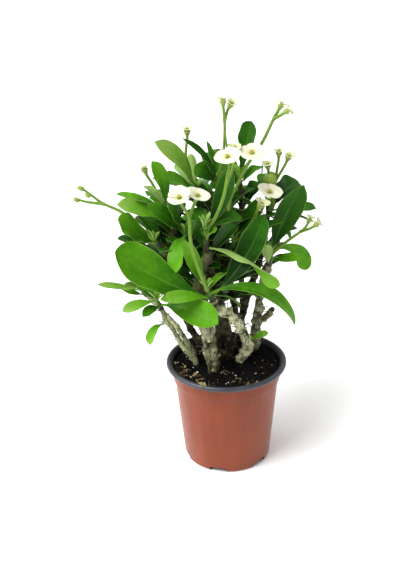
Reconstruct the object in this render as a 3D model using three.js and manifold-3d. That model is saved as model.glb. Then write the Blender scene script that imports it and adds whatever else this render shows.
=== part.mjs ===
// A crown-of-thorns houseplant: thorny grey stems, fleshy leaves and cream blooms, in a plastic nursery pot.
// Millimetres, +Z up. The origin is the middle of the pot's underside, on the ground; -Y faces the viewer.
import * as THREE from 'three';
import { mergeVertices } from 'three/addons/utils/BufferGeometryUtils.js';
import Module from 'manifold-3d';

const wasm = await Module();
wasm.setup();

// Pot
const RIM_RADIUS = 60;
const POT_HEIGHT = 107;
const COLLAR_RADIUS = 54;
const COLLAR_BOTTOM = 88.5;
const COLLAR_TAPER = 0.6;
const BODY_TOP_RADIUS = 51.6;
const BASE_RADIUS = 43.8;
const WALL = 1.3;
const FLOOR_TOP = 6.6;
const POT_SIDES = 30;
const CHANNEL = { count: 6, first: -104.7, inner: 22, width: 17, height: 4.8, holeAt: 31, holeRadius: 4 };

// Soil
const GAP = 0.3;
const SOIL_LEVEL = 101;
const SOIL_RIM_RADIUS = 52.1;
const SOIL_RINGS = [14, 29, 43];
const SOIL_SIDES = 24;
const SOCKET_FLOOR = 88;
const FOOT_TOP = 100;
const SOCKET_SIDES = 8;
const SOCKET_EASE = 0.1;

// Bark, shoots, leaves and flowers
const BARK_STEP = 11;
const KNOB_PITCH = 25;
const KNOB_DEPTH = 0.13;
const KNOB_TURN = 2.4;
const KNOB_FADE = { foot: 10, tip: 6 };
const STRAIGHT_FOOT = 4;
const STRAIGHT_TIP = 6;
const SPINE = {
  shortest: 7, longest: 12, radius: 0.75, sunk: 1.5, sides: 3, spacing: 13, clear: 9, lean: 0.35,
};
const SHOOT_RADIUS = 2.7;
const SHOOT_SIDES = 5;
const SHOOT_TAPER = 0.45;
const LEAF_FOLD = 16;
const LEAF_STEPS = [[75, 7], [61, 5], [0, 4]];
const STATION_EASE = 0.9;
const FOLDED_WIDTH = 16;
const PETIOLE_END = 0.11;
const PETIOLE_TAPER = 0.25;
const PETIOLE_HALF = 0.8;
const BLADE_THICKNESS = 0.8;
const PETIOLE_THICKNESS = 1.7;
const BRACT_THICKNESS = 0.7;
const BRACT_INNER = 1.7;
const BRACT_SPREAD = 98;
const BRACT_NARROWING = 0.22;
const BRACT_STEPS = 7;
const BRACT_BEND = { at: 0.55, rise: 0.8 };
const SECOND_BRACT_DROP = 0.3;
const LARGE_BLOOM = 11.5;
const COLLAR_STEPS = 10;
const HEAD = [[2.7, -0.95], [1, -0.9], [1, 1.6], [2.5, 2.4], [0.5, 3]];
const FUNNEL_FOOT = [8, 6];
const FUNNEL_FOOT_RADIUS = 1.2;
const STALK_SIDES = 5;
const STALK_STEP = 30;
const CAPSULE_SIDES = 6;
const CAPSULE_RINGS = 4;
const ROOT_START = 0.9;
const HIGHEST_LEAF = 0.9;

// Width of a leaf along its length, as a share of its widest, for a pointed tip and for a round one.
const LEAF_STATION = [0, 0.1, 0.18, 0.34, 0.52, 0.68, 0.82, 0.92, 1];
const POINTED_WIDTH = [0.07, 0.075, 0.2, 0.6, 0.9, 1, 0.9, 0.6, 0.06];
const ROUND_WIDTH = [0.07, 0.075, 0.17, 0.5, 0.78, 0.96, 1, 0.84, 0.16];

// Woody stems. Each stands at its foot in the soil and ends in the green shoots that it names,
// with a branch leaving the main route at one of its points.
const STEMS = {
  trunk: {
    foot: [-13, -12], radius: 8.2, sides: 8, seed: 11,
    routes: [
      {
        to: 'middle', thin: 0.62,
        via: [[-18, -12, 138], [-22, -12, 166], [-25, -12, 192], [-22, -13, 214]],
      },
    ],
  },
  front: {
    foot: [14, 3], radius: 4.8, sides: 7, seed: 23,
    routes: [
      { to: 'front', via: [[21, 0, 119], [17, -6, 140], [6, -14, 158], [-5, -23, 172]], thin: 0.8 },
      { from: [18, -4, 134], via: [[14, -10, 148], [9, -20, 158]], thick: 0.6, thin: 0.4 },
    ],
  },
  left_low: {
    foot: [-31, 0], radius: 3.4, sides: 6, seed: 31,
    routes: [{ to: 'left_low', via: [[-43, -4, 124], [-52, -9, 145], [-59, -13, 158]], thin: 0.75 }],
  },
  far_left: {
    foot: [-32, 13], radius: 3.2, sides: 6, seed: 3,
    routes: [{ to: 'far_left', via: [[-40, 15, 120], [-50, 18, 136], [-66, 25, 152]], thin: 0.7 }],
  },
  left_tall: {
    foot: [-22, 25], radius: 4.3, sides: 6, seed: 67,
    routes: [
      { to: 'left_upper', via: [[-36, 26, 130], [-46, 26, 170], [-50, 18, 215]], thin: 0.65 },
      { from: [-46, 26, 170], to: 'left_mid', via: [[-42, 16, 196]], thick: 0.62, thin: 0.55 },
      { from: [-49, 21, 200], to: 'mid_left', via: [[-57, 12, 212]], thick: 0.6, thin: 0.5 },
    ],
  },
  centre: {
    foot: [-4, 12], radius: 6.2, sides: 7, seed: 43,
    routes: [
      { to: 'top', via: [[-4, 16, 136], [-6, 22, 172], [-6, 28, 212], [-4, 35, 248]], thin: 0.55 },
      { from: [-6, 22, 172], to: 'right_mid', via: [[0, 22, 190]], thick: 0.6, thin: 0.5 },
    ],
  },
  right: {
    foot: [30, 28], radius: 5, sides: 6, seed: 47,
    routes: [
      { to: 'right', via: [[32, 31, 127], [35, 31, 155], [40, 26, 182]], thin: 0.7 },
      { from: [33, 31, 132], via: [[42, 26, 140], [48, 22, 150]], thick: 0.7, thin: 0.6 },
    ],
  },
  back_right: {
    foot: [14, 38], radius: 4.8, sides: 6, seed: 53,
    routes: [
      { to: 'back_right', via: [[20, 52, 136], [34, 62, 175], [42, 62, 210]], thin: 0.62 },
      { from: [20, 52, 136], to: 'upper_right', via: [[18, 56, 180], [18, 54, 225]], thick: 0.7, thin: 0.5 },
    ],
  },
  back: {
    foot: [-3, 36], radius: 4.4, sides: 6, seed: 59,
    routes: [
      { to: 'upper', via: [[-10, 50, 140], [-20, 58, 185], [-24, 50, 230]], thin: 0.65 },
      { from: [-10, 50, 140], to: 'back', via: [[-4, 66, 180]], thick: 0.75, thin: 0.6 },
    ],
  },
  back_left: {
    foot: [-16, 43], radius: 4, sides: 6, seed: 61,
    routes: [{ to: 'back_left', via: [[-30, 54, 136], [-44, 62, 165]], thin: 0.75 }],
  },
};

// Green shoots: the axis, the leaves, and the flower stalks.
// A leaf is [up the shoot from 0 to 1, heading, rise, length, width, droop, roll, twist, 1 for a round tip].
// A heading of 0 points to the right and 90 away from the viewer; the rise is the slope at the root;
// the droop is how far the leaf bends down by its tip; roll and twist turn the blade about its midrib.
// A stalk is its radius and its route.
const SHOOTS = {
  front: {
    axis: [[-13, -29, 185], [-19, -36, 201]],
    leaves: [
      [0.1, -172, 22, 103, 43, -21, 60, -28, 1],
      [0.2, -157, 20, 51, 13, 20, 50, 0, 0],
      [0.3, 14, 38, 93, 25, -36, -42, -8, 0],
      [0.6, -13, 33, 95, 24, 102, -33, 40, 1],
      [0.9, 48, 25, 25, 15, 10, 20, 0, 1],
      [0.8, 177, 68, 54, 15, 0, 55, 0, 0],
      [0.35, 33, -4, 41, 10, 60, 0, 0, 0],
    ],
    stalks: [
      [1.6, [-18, -35, 198], [-27, -42, 228], [-32, -44, 252], [-33, -44, 274], 'left_a'],
      [1.4, [-33, -44, 272], 'left_b'],
    ],
  },
  left_low: {
    axis: [[-62, -14, 170], [-66, -18, 182]],
    leaves: [
      [0.9, -168, 4, 34, 11, 30, 50, 0, 0],
      [0.2, -115, 30, 36, 10, 40, 30, 0, 0],
      [0.5, -32, 13, 65, 27, 35, -45, 0, 0],
      [0.6, 130, 30, 34, 14, 30, 0, 0, 0],
    ],
    stalks: [],
  },
  far_left: {
    axis: [[-78, 30, 164], [-84, 33, 170]],
    leaves: [
      [0.9, -166, 21, 45, 7, 10, 50, 0, 0],
      [0.9, -126, 54, 32, 9, 60, 40, 0, 0],
      [0.2, -156, 18, 29, 7, -20, 50, 0, 0],
      [0.7, 110, 30, 46, 18, 20, 0, 0, 1],
      [0.4, 60, 20, 40, 16, 20, 0, 0, 0],
    ],
    stalks: [],
  },
  mid_left: {
    axis: [[-61, 2, 228], [-67, 2, 235]],
    leaves: [
      [0.5, -144, 32, 53, 25, -15, 60, -11, 1],
      [0.2, 144, 5, 40, 10, 20, 20, 0, 0],
      [0.8, 102, 24, 30, 14, 20, 0, 0, 0],
    ],
    stalks: [
      [1.4, [-66, 2, 234], [-96, 10, 260], [-114, 12, 269], [-125, 12, 278], [-131, 12, 283]],
      [1.2, [-112, 12, 268], [-130, 12, 271], [-136, 12, 273]],
    ],
  },
  left_upper: {
    axis: [[-51, 10, 253], [-55, 10, 265]],
    leaves: [
      [0.2, -159, 22, 53, 20, 2, 44, -13, 0],
      [0.7, 170, 30, 50, 10, 25, 20, 0, 0],
      [1, -167, 62, 31, 17, 25, -28, 4, 0],
      [0.7, -135, 51, 28, 8, 20, 40, 0, 0],
      [1, -172, 98, 48, 15, 42, 53, 17, 0],
      [0.5, 110, 20, 48, 20, 25, 0, 0, 1],
    ],
    stalks: [[1.1, [-56, 10, 264], [-67, 14, 287], 'left_small']],
  },
  left_mid: {
    axis: [[-35, 5, 232], [-38, 4, 241]],
    leaves: [
      [0.7, -154, 55, 52, 17, 20, 60, 0, 0],
      [0.9, -147, 63, 37, 14, 0, 50, 0, 0],
      [0.7, -104, 16, 49, 19, 91, 4, -34, 0],
      [0.2, -137, -45, 34, 7, 40, 20, 0, 0],
    ],
    stalks: [],
  },
  upper: {
    axis: [[-23, 42, 260], [-26, 42, 272]],
    leaves: [
      [1, -162, 76, 66, 17, 46, 53, 17, 0],
      [0.5, -135, 47, 47, 22, 30, 35, 0, 1],
      [1, 101, 55, 36, 11, 0, 160, 0, 1],
      [0.9, 126, 33, 36, 16, 0, 150, 0, 1],
      [0.3, 85, 15, 50, 20, 30, 0, 0, 1],
      [0.4, 150, 25, 52, 18, 25, 10, 0, 0],
    ],
    stalks: [[1.2, [-27, 42, 270], [-35, 40, 302], 'upper_left']],
  },
  top: {
    axis: [[-4, 38, 269], [-6, 38, 281]],
    leaves: [
      [0.9, -145, 78, 64, 6, 50, 75, 60, 0],
      [0.9, -136, 64, 28, 11, 10, 50, 0, 0],
      [0.7, -144, 56, 35, 18, 25, 68, 37, 1],
      [1, -168, 88, 41, 6, 20, 68, 0, 0],
      [0.4, 100, 40, 52, 20, 30, 0, 0, 1],
      [0.2, 60, 20, 46, 18, 20, 0, 0, 0],
    ],
    stalks: [
      [1.2, [-5, 38, 279], [1, 36, 311], [2, 31, 340], 'top_left'],
      [1.1, [2, 31, 338], 'top_right'],
    ],
  },
  middle: {
    axis: [[-17, -13, 229], [-19, -15, 254]],
    leaves: [
      [0.7, 27, 57, 64, 18, -16, -32, -10, 0],
      [0.8, 11, 52, 38, 16, 70, -20, 0, 0],
      [0.5, -74, 47, 35, 11, 30, -30, 0, 0],
      [1, -131, 68, 11, 5, 0, 20, 0, 0],
      [1, -68, 65, 13, 4, 0, 0, 0, 0],
      [0.1, -33, 9, 81, 21, 52, -225, 130, 1],
    ],
    stalks: [
      [1.5, [-18, -15, 251], [-11, -17, 259], [-2, -20, 281], [2, -22, 301], 'middle_a'],
      [1.2, [1, -21, 294], [8, -8, 308], 'middle_b'],
    ],
  },
  upper_right: {
    axis: [[17, 50, 270], [15, 50, 283]],
    leaves: [
      [0.8, -28, 77, 58, 20, 0, -78, 0, 1],
      [0.3, -31, 43, 26, 13, 0, -30, 0, 0],
      [0.5, 46, 20, 36, 13, 20, 0, 0, 0],
      [0.2, 95, 15, 46, 20, 25, 0, 0, 1],
    ],
    stalks: [
      [1.3, [16, 50, 280], [37.5, 44, 314], [49, 40, 340], 'upper_right_a'],
      [1.2, [48, 40, 338], 'upper_right_b'],
    ],
  },
  right_mid: {
    axis: [[4, 22, 212], [10, 22, 225]],
    leaves: [
      [0.6, -24, 61, 60, 15, 0, -50, 0, 0],
      [0.8, -20, 44, 58, 10, 30, -20, 0, 0],
      [0.9, -158, 82, 38, 12, 0, 30, 0, 0],
    ],
    stalks: [
      [1.5, [9, 22, 223], [5, 17, 262], [16, 8, 292], 'centre_right'],
      [1.3, [10, 21, 224], [22, 18, 240], [28, 5, 253], 'side_on'],
      [1.3, [21, 19, 238], [32, 15, 250], [37, 11, 262], 'mid_right'],
    ],
  },
  right: {
    axis: [[43, 22, 199], [46, 18, 213]],
    leaves: [
      [0.8, -7, 79, 78, 27, 22, -80, -43, 0],
      [0.1, -99, 42, 36, 11, -20, -10, 0, 0],
      [0.4, -38, 20, 35, 13, 10, -30, 0, 0],
      [1, 27, 31, 57, 16, 132, -85, -29, 1],
      [0.3, 75, 15, 44, 18, 25, 0, 0, 0],
    ],
    stalks: [
      [1.5, [46, 18, 211], [63, 15, 227], [75, 14, 236.5], 'far_right_a'],
      [1.3, [73, 14, 235], 'far_right_b'],
    ],
  },
  back_right: {
    axis: [[45, 60, 235], [49, 60, 246]],
    leaves: [
      [0.9, 12, 66, 38, 34, 58, -32, 29, 1],
      [0.5, -19, 23, 47, 16, 30, -20, 0, 0],
      [0.3, 0, 1, 47, 8, 30, 0, 0, 0],
      [0.1, -25, -20, 34, 10, 50, 0, 0, 0],
      [0.4, 70, 25, 55, 22, 30, 0, 0, 1],
      [0.9, 100, 55, 40, 18, 30, 0, 0, 1],
    ],
    stalks: [
      [1.2, [49, 60, 244], [49, 56, 260], [48, 53, 270], 'pod_tip'],
      [1.3, [50, 60, 243], [52, 52, 276], 'right_pair_a'],
      [1.2, [52, 52, 274], 'right_pair_b'],
    ],
  },
  back: {
    axis: [[-2, 78, 214], [-2, 84, 227]],
    leaves: [
      [0.1, 20, 10, 55, 22, 25, 0, 0, 1],
      [0.3, 165, 15, 50, 20, 25, 0, 0, 0],
      [0.5, 90, 25, 60, 24, 35, 0, 0, 1],
      [0.8, 45, 45, 52, 20, 30, 0, 0, 0],
      [0.9, 130, 55, 50, 18, 25, 0, 0, 1],
    ],
    stalks: [
      [1.3, [-2, 84, 225], [2, 90, 262], [-1, 90, 284], 'back_a'],
      [1.2, [1, 90, 272], [9, 92, 286], 'back_b'],
    ],
  },
  back_left: {
    axis: [[-52, 66, 184], [-57, 69, 196]],
    leaves: [
      [0.2, 175, 10, 50, 20, 20, 0, 0, 1],
      [0.4, 95, 15, 55, 22, 30, 0, 0, 0],
      [0.6, 140, 30, 54, 20, 30, 0, 0, 1],
      [0.9, 72, 50, 44, 16, 20, 0, 0, 0],
      [0.9, 160, 62, 40, 14, 10, 0, 0, 0],
    ],
    stalks: [[1.2, [-57, 69, 194], [-62, 76, 226], [-58, 78, 246], 'back_left']],
  },
};

// Leaves that grow alone from bark: the root of the petiole, then the leaf's shape as on a shoot.
const LONE_LEAVES = {
  hanging: { root: [-60.2, -14.6, 154], shape: [-130, 25, 30, 10, 115, 10, 0, 0] },
  low: { root: [24.7, -5.2, 131], shape: [-24, 32, 20, 9, 10, -30, 0, 0] },
};

// Blooms: the neck of the flower, the way its axis leans, the lean from upright, the turn of its two
// bracts about the axis, their reach, and how far they cup.
const BLOOMS = {
  top_left: { neck: [0.5, 32, 359.5], heading: 100, lean: 22, spin: 0, reach: 6.5, cup: 40 },
  top_right: { neck: [8.5, 30, 356.5], heading: -35, lean: 32, spin: 10, reach: 7.5, cup: 36 },
  upper_right_a: { neck: [55.5, 40, 352.5], heading: 25, lean: 30, spin: 60, reach: 7, cup: 36 },
  upper_right_b: { neck: [61, 28, 349.5], heading: 5, lean: 58, spin: 0, reach: 8, cup: 32 },
  upper_left: { neck: [-33, 37, 331], heading: -80, lean: 3, spin: 0, reach: 8, cup: 38 },
  left_small: { neck: [-74, 16, 301], heading: 170, lean: 20, spin: 0, reach: 6.5, cup: 40 },
  left_a: { neck: [-40.5, -52, 294], heading: -115, lean: 26, spin: 100, reach: 13, cup: 26 },
  left_b: { neck: [-25, -38, 290.5], heading: -35, lean: 24, spin: -55, reach: 12.2, cup: 26 },
  middle_a: { neck: [2.5, -25, 321.5], heading: -110, lean: 28, spin: 20, reach: 12.6, cup: 20 },
  middle_b: { neck: [10, 1, 322.5], heading: -60, lean: 20, spin: 0, reach: 7, cup: 35 },
  centre_right: { neck: [25.5, 2, 317], heading: -80, lean: 32, spin: 10, reach: 12.4, cup: 20 },
  right_pair_a: { neck: [54.5, 49, 304.5], heading: -90, lean: 10, spin: 0, reach: 6.5, cup: 38 },
  right_pair_b: { neck: [64, 46, 300.5], heading: -45, lean: 25, spin: 0, reach: 7.5, cup: 34 },
  mid_right: { neck: [42, 5, 278], heading: -50, lean: 26, spin: -40, reach: 13, cup: 24 },
  side_on: { neck: [33.5, -8, 271.5], heading: -20, lean: 28, spin: -62, reach: 9.5, cup: 42 },
  far_right_a: { neck: [82.5, 18, 247.5], heading: 30, lean: 28, spin: 30, reach: 8, cup: 36 },
  far_right_b: { neck: [88.5, 3, 247.5], heading: 5, lean: 55, spin: 0, reach: 8, cup: 34 },
  pod_tip: { neck: [43.5, 47, 292.5], heading: -120, lean: 15, spin: 0, reach: 7, cup: 35 },
  back_a: { neck: [-3, 90, 295], heading: 110, lean: 25, spin: 0, reach: 11, cup: 15 },
  back_b: { neck: [15, 93, 296], heading: 60, lean: 35, spin: 30, reach: 10, cup: 20 },
  back_left: { neck: [-57, 79, 255], heading: 120, lean: 30, spin: 10, reach: 11, cup: 15 },
};

// Swollen green seed capsules and unopened buds on the stalks: the shoot, the centre and the half sizes.
const CAPSULES = [
  { on: 'back_right', centre: [47, 51, 276], size: [7, 6.5, 8] },
  { on: 'mid_left', centre: [-133, 12, 284], size: [3.4, 2, 2] },
  { on: 'mid_left', centre: [-127, 12, 277], size: [2.6, 2, 2] },
  { on: 'mid_left', centre: [-138, 12, 273], size: [3.2, 2, 2] },
];

const UP = new THREE.Vector3(0, 0, 1);
const LATHE_AXIS = new THREE.Vector3(0, 1, 0);
const point = (xyz) => new THREE.Vector3(...xyz);
const radians = THREE.MathUtils.degToRad;
const mix = THREE.MathUtils.lerp;

// A repeatable stream of numbers from 0 to 1.
function drawsFrom(seed) {
  let state = seed;
  return () => {
    state = (state * 16807) % 2147483647;
    return state / 2147483647;
  };
}

// The value at t of a broken line through the values at the stations.
function readAt(t, stations, values) {
  const next = Math.max(1, stations.findIndex((station) => station >= t));
  const share = (t - stations[next - 1]) / (stations[next] - stations[next - 1]);
  return mix(values[next - 1], values[next], share);
}

// A closed geometry as a solid, with its faces turned outward.
function solidOf(geometry) {
  const bare = geometry.clone();
  bare.deleteAttribute('normal');
  bare.deleteAttribute('uv');
  const merged = mergeVertices(bare, 1e-4);
  const vertProperties = merged.attributes.position.array;
  const triVerts = new Uint32Array(merged.index.array);
  const made = new wasm.Manifold(new wasm.Mesh({ numProp: 3, vertProperties, triVerts }));
  if (made.volume() > 0) return made;
  return new wasm.Manifold(new wasm.Mesh({ numProp: 3, vertProperties, triVerts: triVerts.reverse() }));
}

const fuse = (solids) => solids.reduce((joined, solid) => joined.add(solid));

// A closed skin over rings of points, capped at both ends or joined from the last ring to the first.
// Quads in the mirrored columns are split along the other diagonal.
function skin(rings, mirrored = [], closed = false) {
  const around = rings[0].length;
  const positions = rings.flat().flatMap((p) => [p.x, p.y, p.z]);
  const index = [];
  const spans = closed ? rings.length : rings.length - 1;
  for (let i = 0; i < spans; i += 1) {
    const here = i * around;
    const ahead = ((i + 1) % rings.length) * around;
    for (let j = 0; j < around; j += 1) {
      const a = here + j;
      const b = here + ((j + 1) % around);
      const c = ahead + j;
      const d = ahead + ((j + 1) % around);
      if (mirrored.includes(j)) index.push(a, b, c, b, d, c);
      else index.push(a, b, d, a, d, c);
    }
  }
  const last = (rings.length - 1) * around;
  for (let j = 1; j + 1 < around && !closed; j += 1) {
    index.push(0, j + 1, j);
    index.push(last, last + j, last + j + 1);
  }
  const geometry = new THREE.BufferGeometry();
  geometry.setAttribute('position', new THREE.Float32BufferAttribute(positions, 3));
  geometry.setIndex(index);
  return geometry;
}

// A thin blade: each station has two or three points across, a normal and a thickness.
function blade(stations, closed = false) {
  const rings = stations.map(({ points, normal, thickness }) => {
    const lift = normal.clone().multiplyScalar(thickness / 2);
    const above = points.map((p) => p.clone().add(lift));
    const below = points.map((p) => p.clone().sub(lift)).reverse();
    return [...above, ...below];
  });
  const across = stations[0].points.length;
  return skin(rings, across === 3 ? [3, 4] : [2], closed);
}

// A ring of points round a centre, in the plane of two directions.
function ringOf(centre, first, second, sides, radiusAt) {
  return Array.from({ length: sides }, (_, j) => {
    const angle = (j / sides) * 2 * Math.PI;
    const out = first.clone().multiplyScalar(Math.cos(angle)).addScaledVector(second, Math.sin(angle));
    return centre.clone().addScaledVector(out, radiusAt(j));
  });
}

// The rings of a round rod along a curve, with its radius given along its length and round its axis.
function rodRings(curve, steps, sides, radiusAt) {
  const { normals, binormals } = curve.computeFrenetFrames(steps, false);
  return Array.from({ length: steps + 1 }, (_, i) => {
    const t = i / steps;
    return ringOf(curve.getPointAt(t), normals[i], binormals[i], sides, (j) => radiusAt(t, j));
  });
}

// A thermoformed pot: a rolled rim, a stepped collar, and a foot cut by drainage channels.
function potSolid() {
  const outside = [
    [0, 0], [40.5, 0], [42.8, 1.2], [BASE_RADIUS, 4], [BODY_TOP_RADIUS, COLLAR_BOTTOM - 2.5],
    [COLLAR_RADIUS - COLLAR_TAPER, COLLAR_BOTTOM], [COLLAR_RADIUS, POT_HEIGHT - 5],
    [RIM_RADIUS - 0.9, POT_HEIGHT - 4.2], [RIM_RADIUS, POT_HEIGHT - 2.6],
    [RIM_RADIUS - 0.5, POT_HEIGHT - 0.8], [RIM_RADIUS - 2.2, POT_HEIGHT],
    [RIM_RADIUS - 4.4, POT_HEIGHT - 0.3],
  ];
  const inside = [
    [COLLAR_RADIUS, POT_HEIGHT - 1.8], [COLLAR_RADIUS - WALL, POT_HEIGHT - 4],
    [COLLAR_RADIUS - COLLAR_TAPER - WALL, COLLAR_BOTTOM + 0.4],
    [BODY_TOP_RADIUS - WALL, COLLAR_BOTTOM - 2.1], [BASE_RADIUS - WALL, FLOOR_TOP + 2],
    [BASE_RADIUS - WALL - 2, FLOOR_TOP], [0, FLOOR_TOP],
  ];
  const profile = [...outside, ...inside].map(([r, z]) => new THREE.Vector2(r, z));
  let pot = solidOf(new THREE.LatheGeometry(profile, POT_SIDES).rotateX(Math.PI / 2));
  for (let k = 0; k < CHANNEL.count; k += 1) {
    const angle = radians(CHANNEL.first + (k * 360) / CHANNEL.count);
    const length = RIM_RADIUS - CHANNEL.inner;
    const channel = new THREE.BoxGeometry(length, CHANNEL.width, 2 * CHANNEL.height);
    channel.translate(CHANNEL.inner + length / 2, 0, 0).rotateZ(angle);
    const hole = new THREE.CylinderGeometry(CHANNEL.holeRadius, CHANNEL.holeRadius, 4 * FLOOR_TOP, 10);
    hole.rotateX(Math.PI / 2).translate(CHANNEL.holeAt, 0, 0).rotateZ(angle);
    pot = pot.subtract(solidOf(channel)).subtract(solidOf(hole));
  }
  return pot;
}

const soilHeight = (x, y) =>
  SOIL_LEVEL + 0.8 * Math.sin(x / 9) * Math.cos(y / 7) + 0.5 * Math.sin((x + y) / 4.5);

// Compost that fills the pot, with a plain hole for each stem.
function soilSolid() {
  const ringAt = (radius, heightAt) => Array.from({ length: SOIL_SIDES }, (_, j) => {
    const angle = (j / SOIL_SIDES) * 2 * Math.PI;
    const x = radius * Math.cos(angle);
    const y = radius * Math.sin(angle);
    return new THREE.Vector3(x, y, heightAt(x, y));
  });
  const rings = SOIL_RINGS.map((radius) => ringAt(radius, soilHeight));
  rings.push(ringAt(SOIL_RIM_RADIUS, soilHeight));
  rings.push(ringAt(COLLAR_RADIUS - 0.8 - WALL - GAP, () => COLLAR_BOTTOM + 1));
  rings.push(ringAt(BODY_TOP_RADIUS - WALL - 2 * GAP, () => COLLAR_BOTTOM - 2.1));
  rings.push(ringAt(BASE_RADIUS - WALL - 2 * GAP, () => FLOOR_TOP + 2.2));
  rings.push(ringAt(BASE_RADIUS - WALL - 2.8, () => FLOOR_TOP + GAP));
  let soil = solidOf(skin(rings));
  for (const { foot, radius } of Object.values(STEMS)) {
    const socket = (radius + GAP) / Math.cos(Math.PI / SOCKET_SIDES) + SOCKET_EASE;
    const hole = new THREE.CylinderGeometry(socket, socket, POT_HEIGHT - SOCKET_FLOOR, SOCKET_SIDES);
    hole.rotateX(Math.PI / 2).translate(...foot, (POT_HEIGHT + SOCKET_FLOOR) / 2);
    soil = soil.subtract(solidOf(hole));
  }
  return soil;
}

function shootFrame(name) {
  const [root, tip] = SHOOTS[name].axis.map(point);
  return { root, tip, along: tip.clone().sub(root).normalize() };
}

// Three-sided spines round a stretch of bark, leaning a little towards its tip.
function spines(curve, radiusAt, draw) {
  const length = curve.getLength();
  const made = [];
  for (let s = SPINE.clear; s < length - SPINE.clear; s += SPINE.spacing) {
    const along = curve.getTangentAt(s / length);
    const out = new THREE.Vector3().crossVectors(along, UP).normalize();
    out.applyAxisAngle(along, draw() * 2 * Math.PI).addScaledVector(along, SPINE.lean).normalize();
    const reach = mix(SPINE.shortest, SPINE.longest, draw());
    const span = reach + SPINE.sunk;
    const spine = new THREE.ConeGeometry(SPINE.radius, span, SPINE.sides).translate(0, span / 2, 0);
    spine.applyQuaternion(new THREE.Quaternion().setFromUnitVectors(LATHE_AXIS, out));
    const start = radiusAt(s / length, 0) - SPINE.sunk;
    const root = curve.getPointAt(s / length).addScaledVector(out, start);
    made.push(solidOf(spine.translate(root.x, root.y, root.z)));
  }
  return made;
}

// A woody stem with its branches: a plain foot in the soil, then knobbly bark with spines.
function stemSolid({ foot, radius, sides, seed, routes }) {
  const draw = drawsFrom(seed);
  const parts = [];
  for (const { from, via, to, thick = 1, thin } of routes) {
    const footing = [FOOT_TOP, FOOT_TOP + STRAIGHT_FOOT].map((z) => point([...foot, z]));
    const points = [...(from ? [point(from)] : footing), ...via.map(point)];
    if (to) {
      const { root, along } = shootFrame(to);
      points.push(...[STRAIGHT_TIP, GAP].map((back) => root.clone().addScaledVector(along, -back)));
    }
    const curve = new THREE.CatmullRomCurve3(points);
    const length = curve.getLength();
    const radiusAt = (t, j) => {
      const knob = Math.sin((2 * Math.PI * t * length) / KNOB_PITCH + KNOB_TURN * j + seed);
      const fade = Math.min(1, (1 - t) * KNOB_FADE.tip, t * KNOB_FADE.foot);
      return radius * mix(thick, thin, t) * (1 + KNOB_DEPTH * knob * fade);
    };
    const rings = rodRings(curve, Math.round(length / BARK_STEP), sides, radiusAt);
    if (!from) rings.unshift(rings[0].map((p) => p.clone().setZ(SOCKET_FLOOR + GAP)));
    parts.push(solidOf(skin(rings)));
    parts.push(...spines(curve, radiusAt, draw));
  }
  return fuse(parts);
}

// A leaf: its midrib bends evenly in an upright plane, and its two halves fold up along it.
// The petiole has no fold, so there the middle point joins the left one.
function leafSolid(root, [heading, rise, length, width, droop, roll, twist, round]) {
  const turn = radians(heading);
  const start = radians(rise);
  const bend = radians(droop);
  const side = new THREE.Vector3(Math.sin(turn), -Math.cos(turn), 0);
  const outline = round ? ROUND_WIDTH : POINTED_WIDTH;
  const [, steps] = LEAF_STEPS.find(([shortest]) => length > shortest);
  const fold = radians(LEAF_FOLD);
  const stations = [];
  for (let i = 0; i <= steps; i += 1) {
    const t = i < 2 ? PETIOLE_END * i : mix(PETIOLE_END, 1, ((i - 1) / (steps - 1)) ** STATION_EASE);
    const slope = start - bend * t;
    const run = bend
      ? (length / bend) * (Math.sin(start) - Math.sin(slope))
      : length * t * Math.cos(start);
    const climb = bend
      ? (length / bend) * (Math.cos(slope) - Math.cos(start))
      : length * t * Math.sin(start);
    const middle = root.clone().add(new THREE.Vector3(run * Math.cos(turn), run * Math.sin(turn), climb));
    const along = new THREE.Vector3(
      Math.cos(slope) * Math.cos(turn), Math.cos(slope) * Math.sin(turn), Math.sin(slope),
    );
    const lean = radians(-roll - twist * t);
    const across = side.clone().applyAxisAngle(along, lean);
    const normal = new THREE.Vector3().crossVectors(across, along);
    const half = Math.max(PETIOLE_HALF, (readAt(t, LEAF_STATION, outline) * width) / 2);
    const lift = normal.clone().multiplyScalar(half * Math.sin(fold));
    const reach = across.multiplyScalar(half * Math.cos(fold));
    const edges = [middle.clone().sub(reach).add(lift), middle.clone().add(reach).add(lift)];
    stations.push({
      points: width < FOLDED_WIDTH ? edges : [edges[0], i < 2 ? edges[0] : middle, edges[1]],
      normal,
      thickness: mix(PETIOLE_THICKNESS, BLADE_THICKNESS, Math.min(1, t / PETIOLE_TAPER)),
    });
  }
  return solidOf(blade(stations));
}

// The axis of a bloom and two directions square to it, turned by the bloom's spin.
function bloomFrame({ heading, lean, spin }) {
  const turn = radians(heading);
  const tilt = radians(lean);
  const axis = new THREE.Vector3(
    Math.sin(tilt) * Math.cos(turn), Math.sin(tilt) * Math.sin(turn), Math.cos(tilt),
  );
  const first = new THREE.Vector3(-Math.sin(turn), Math.cos(turn), 0).applyAxisAngle(axis, radians(spin));
  return { axis, first, second: new THREE.Vector3().crossVectors(axis, first) };
}

// One station of a bract, at an angle round the bloom: its inner edge, its middle if asked for, and its rim.
function bractStation({ neck, reach, cup }, { axis, first, second }, angle, share, drop, middle) {
  const out = first.clone().multiplyScalar(Math.cos(angle)).addScaledVector(second, Math.sin(angle));
  const base = point(neck).addScaledVector(axis, -drop).addScaledVector(out, BRACT_INNER);
  const run = (reach - BRACT_INNER) * share;
  const at = (part, rise) => base.clone()
    .addScaledVector(out, run * part * Math.cos(rise))
    .addScaledVector(axis, run * part * Math.sin(rise));
  const rise = radians(cup);
  const bent = middle ? [at(BRACT_BEND.at, rise * BRACT_BEND.rise)] : [];
  return {
    points: [at(0, 0), ...bent, at(1, rise)],
    normal: axis.clone().multiplyScalar(Math.cos(rise)).addScaledVector(out, -Math.sin(rise)),
    thickness: BRACT_THICKNESS,
  };
}

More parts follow.
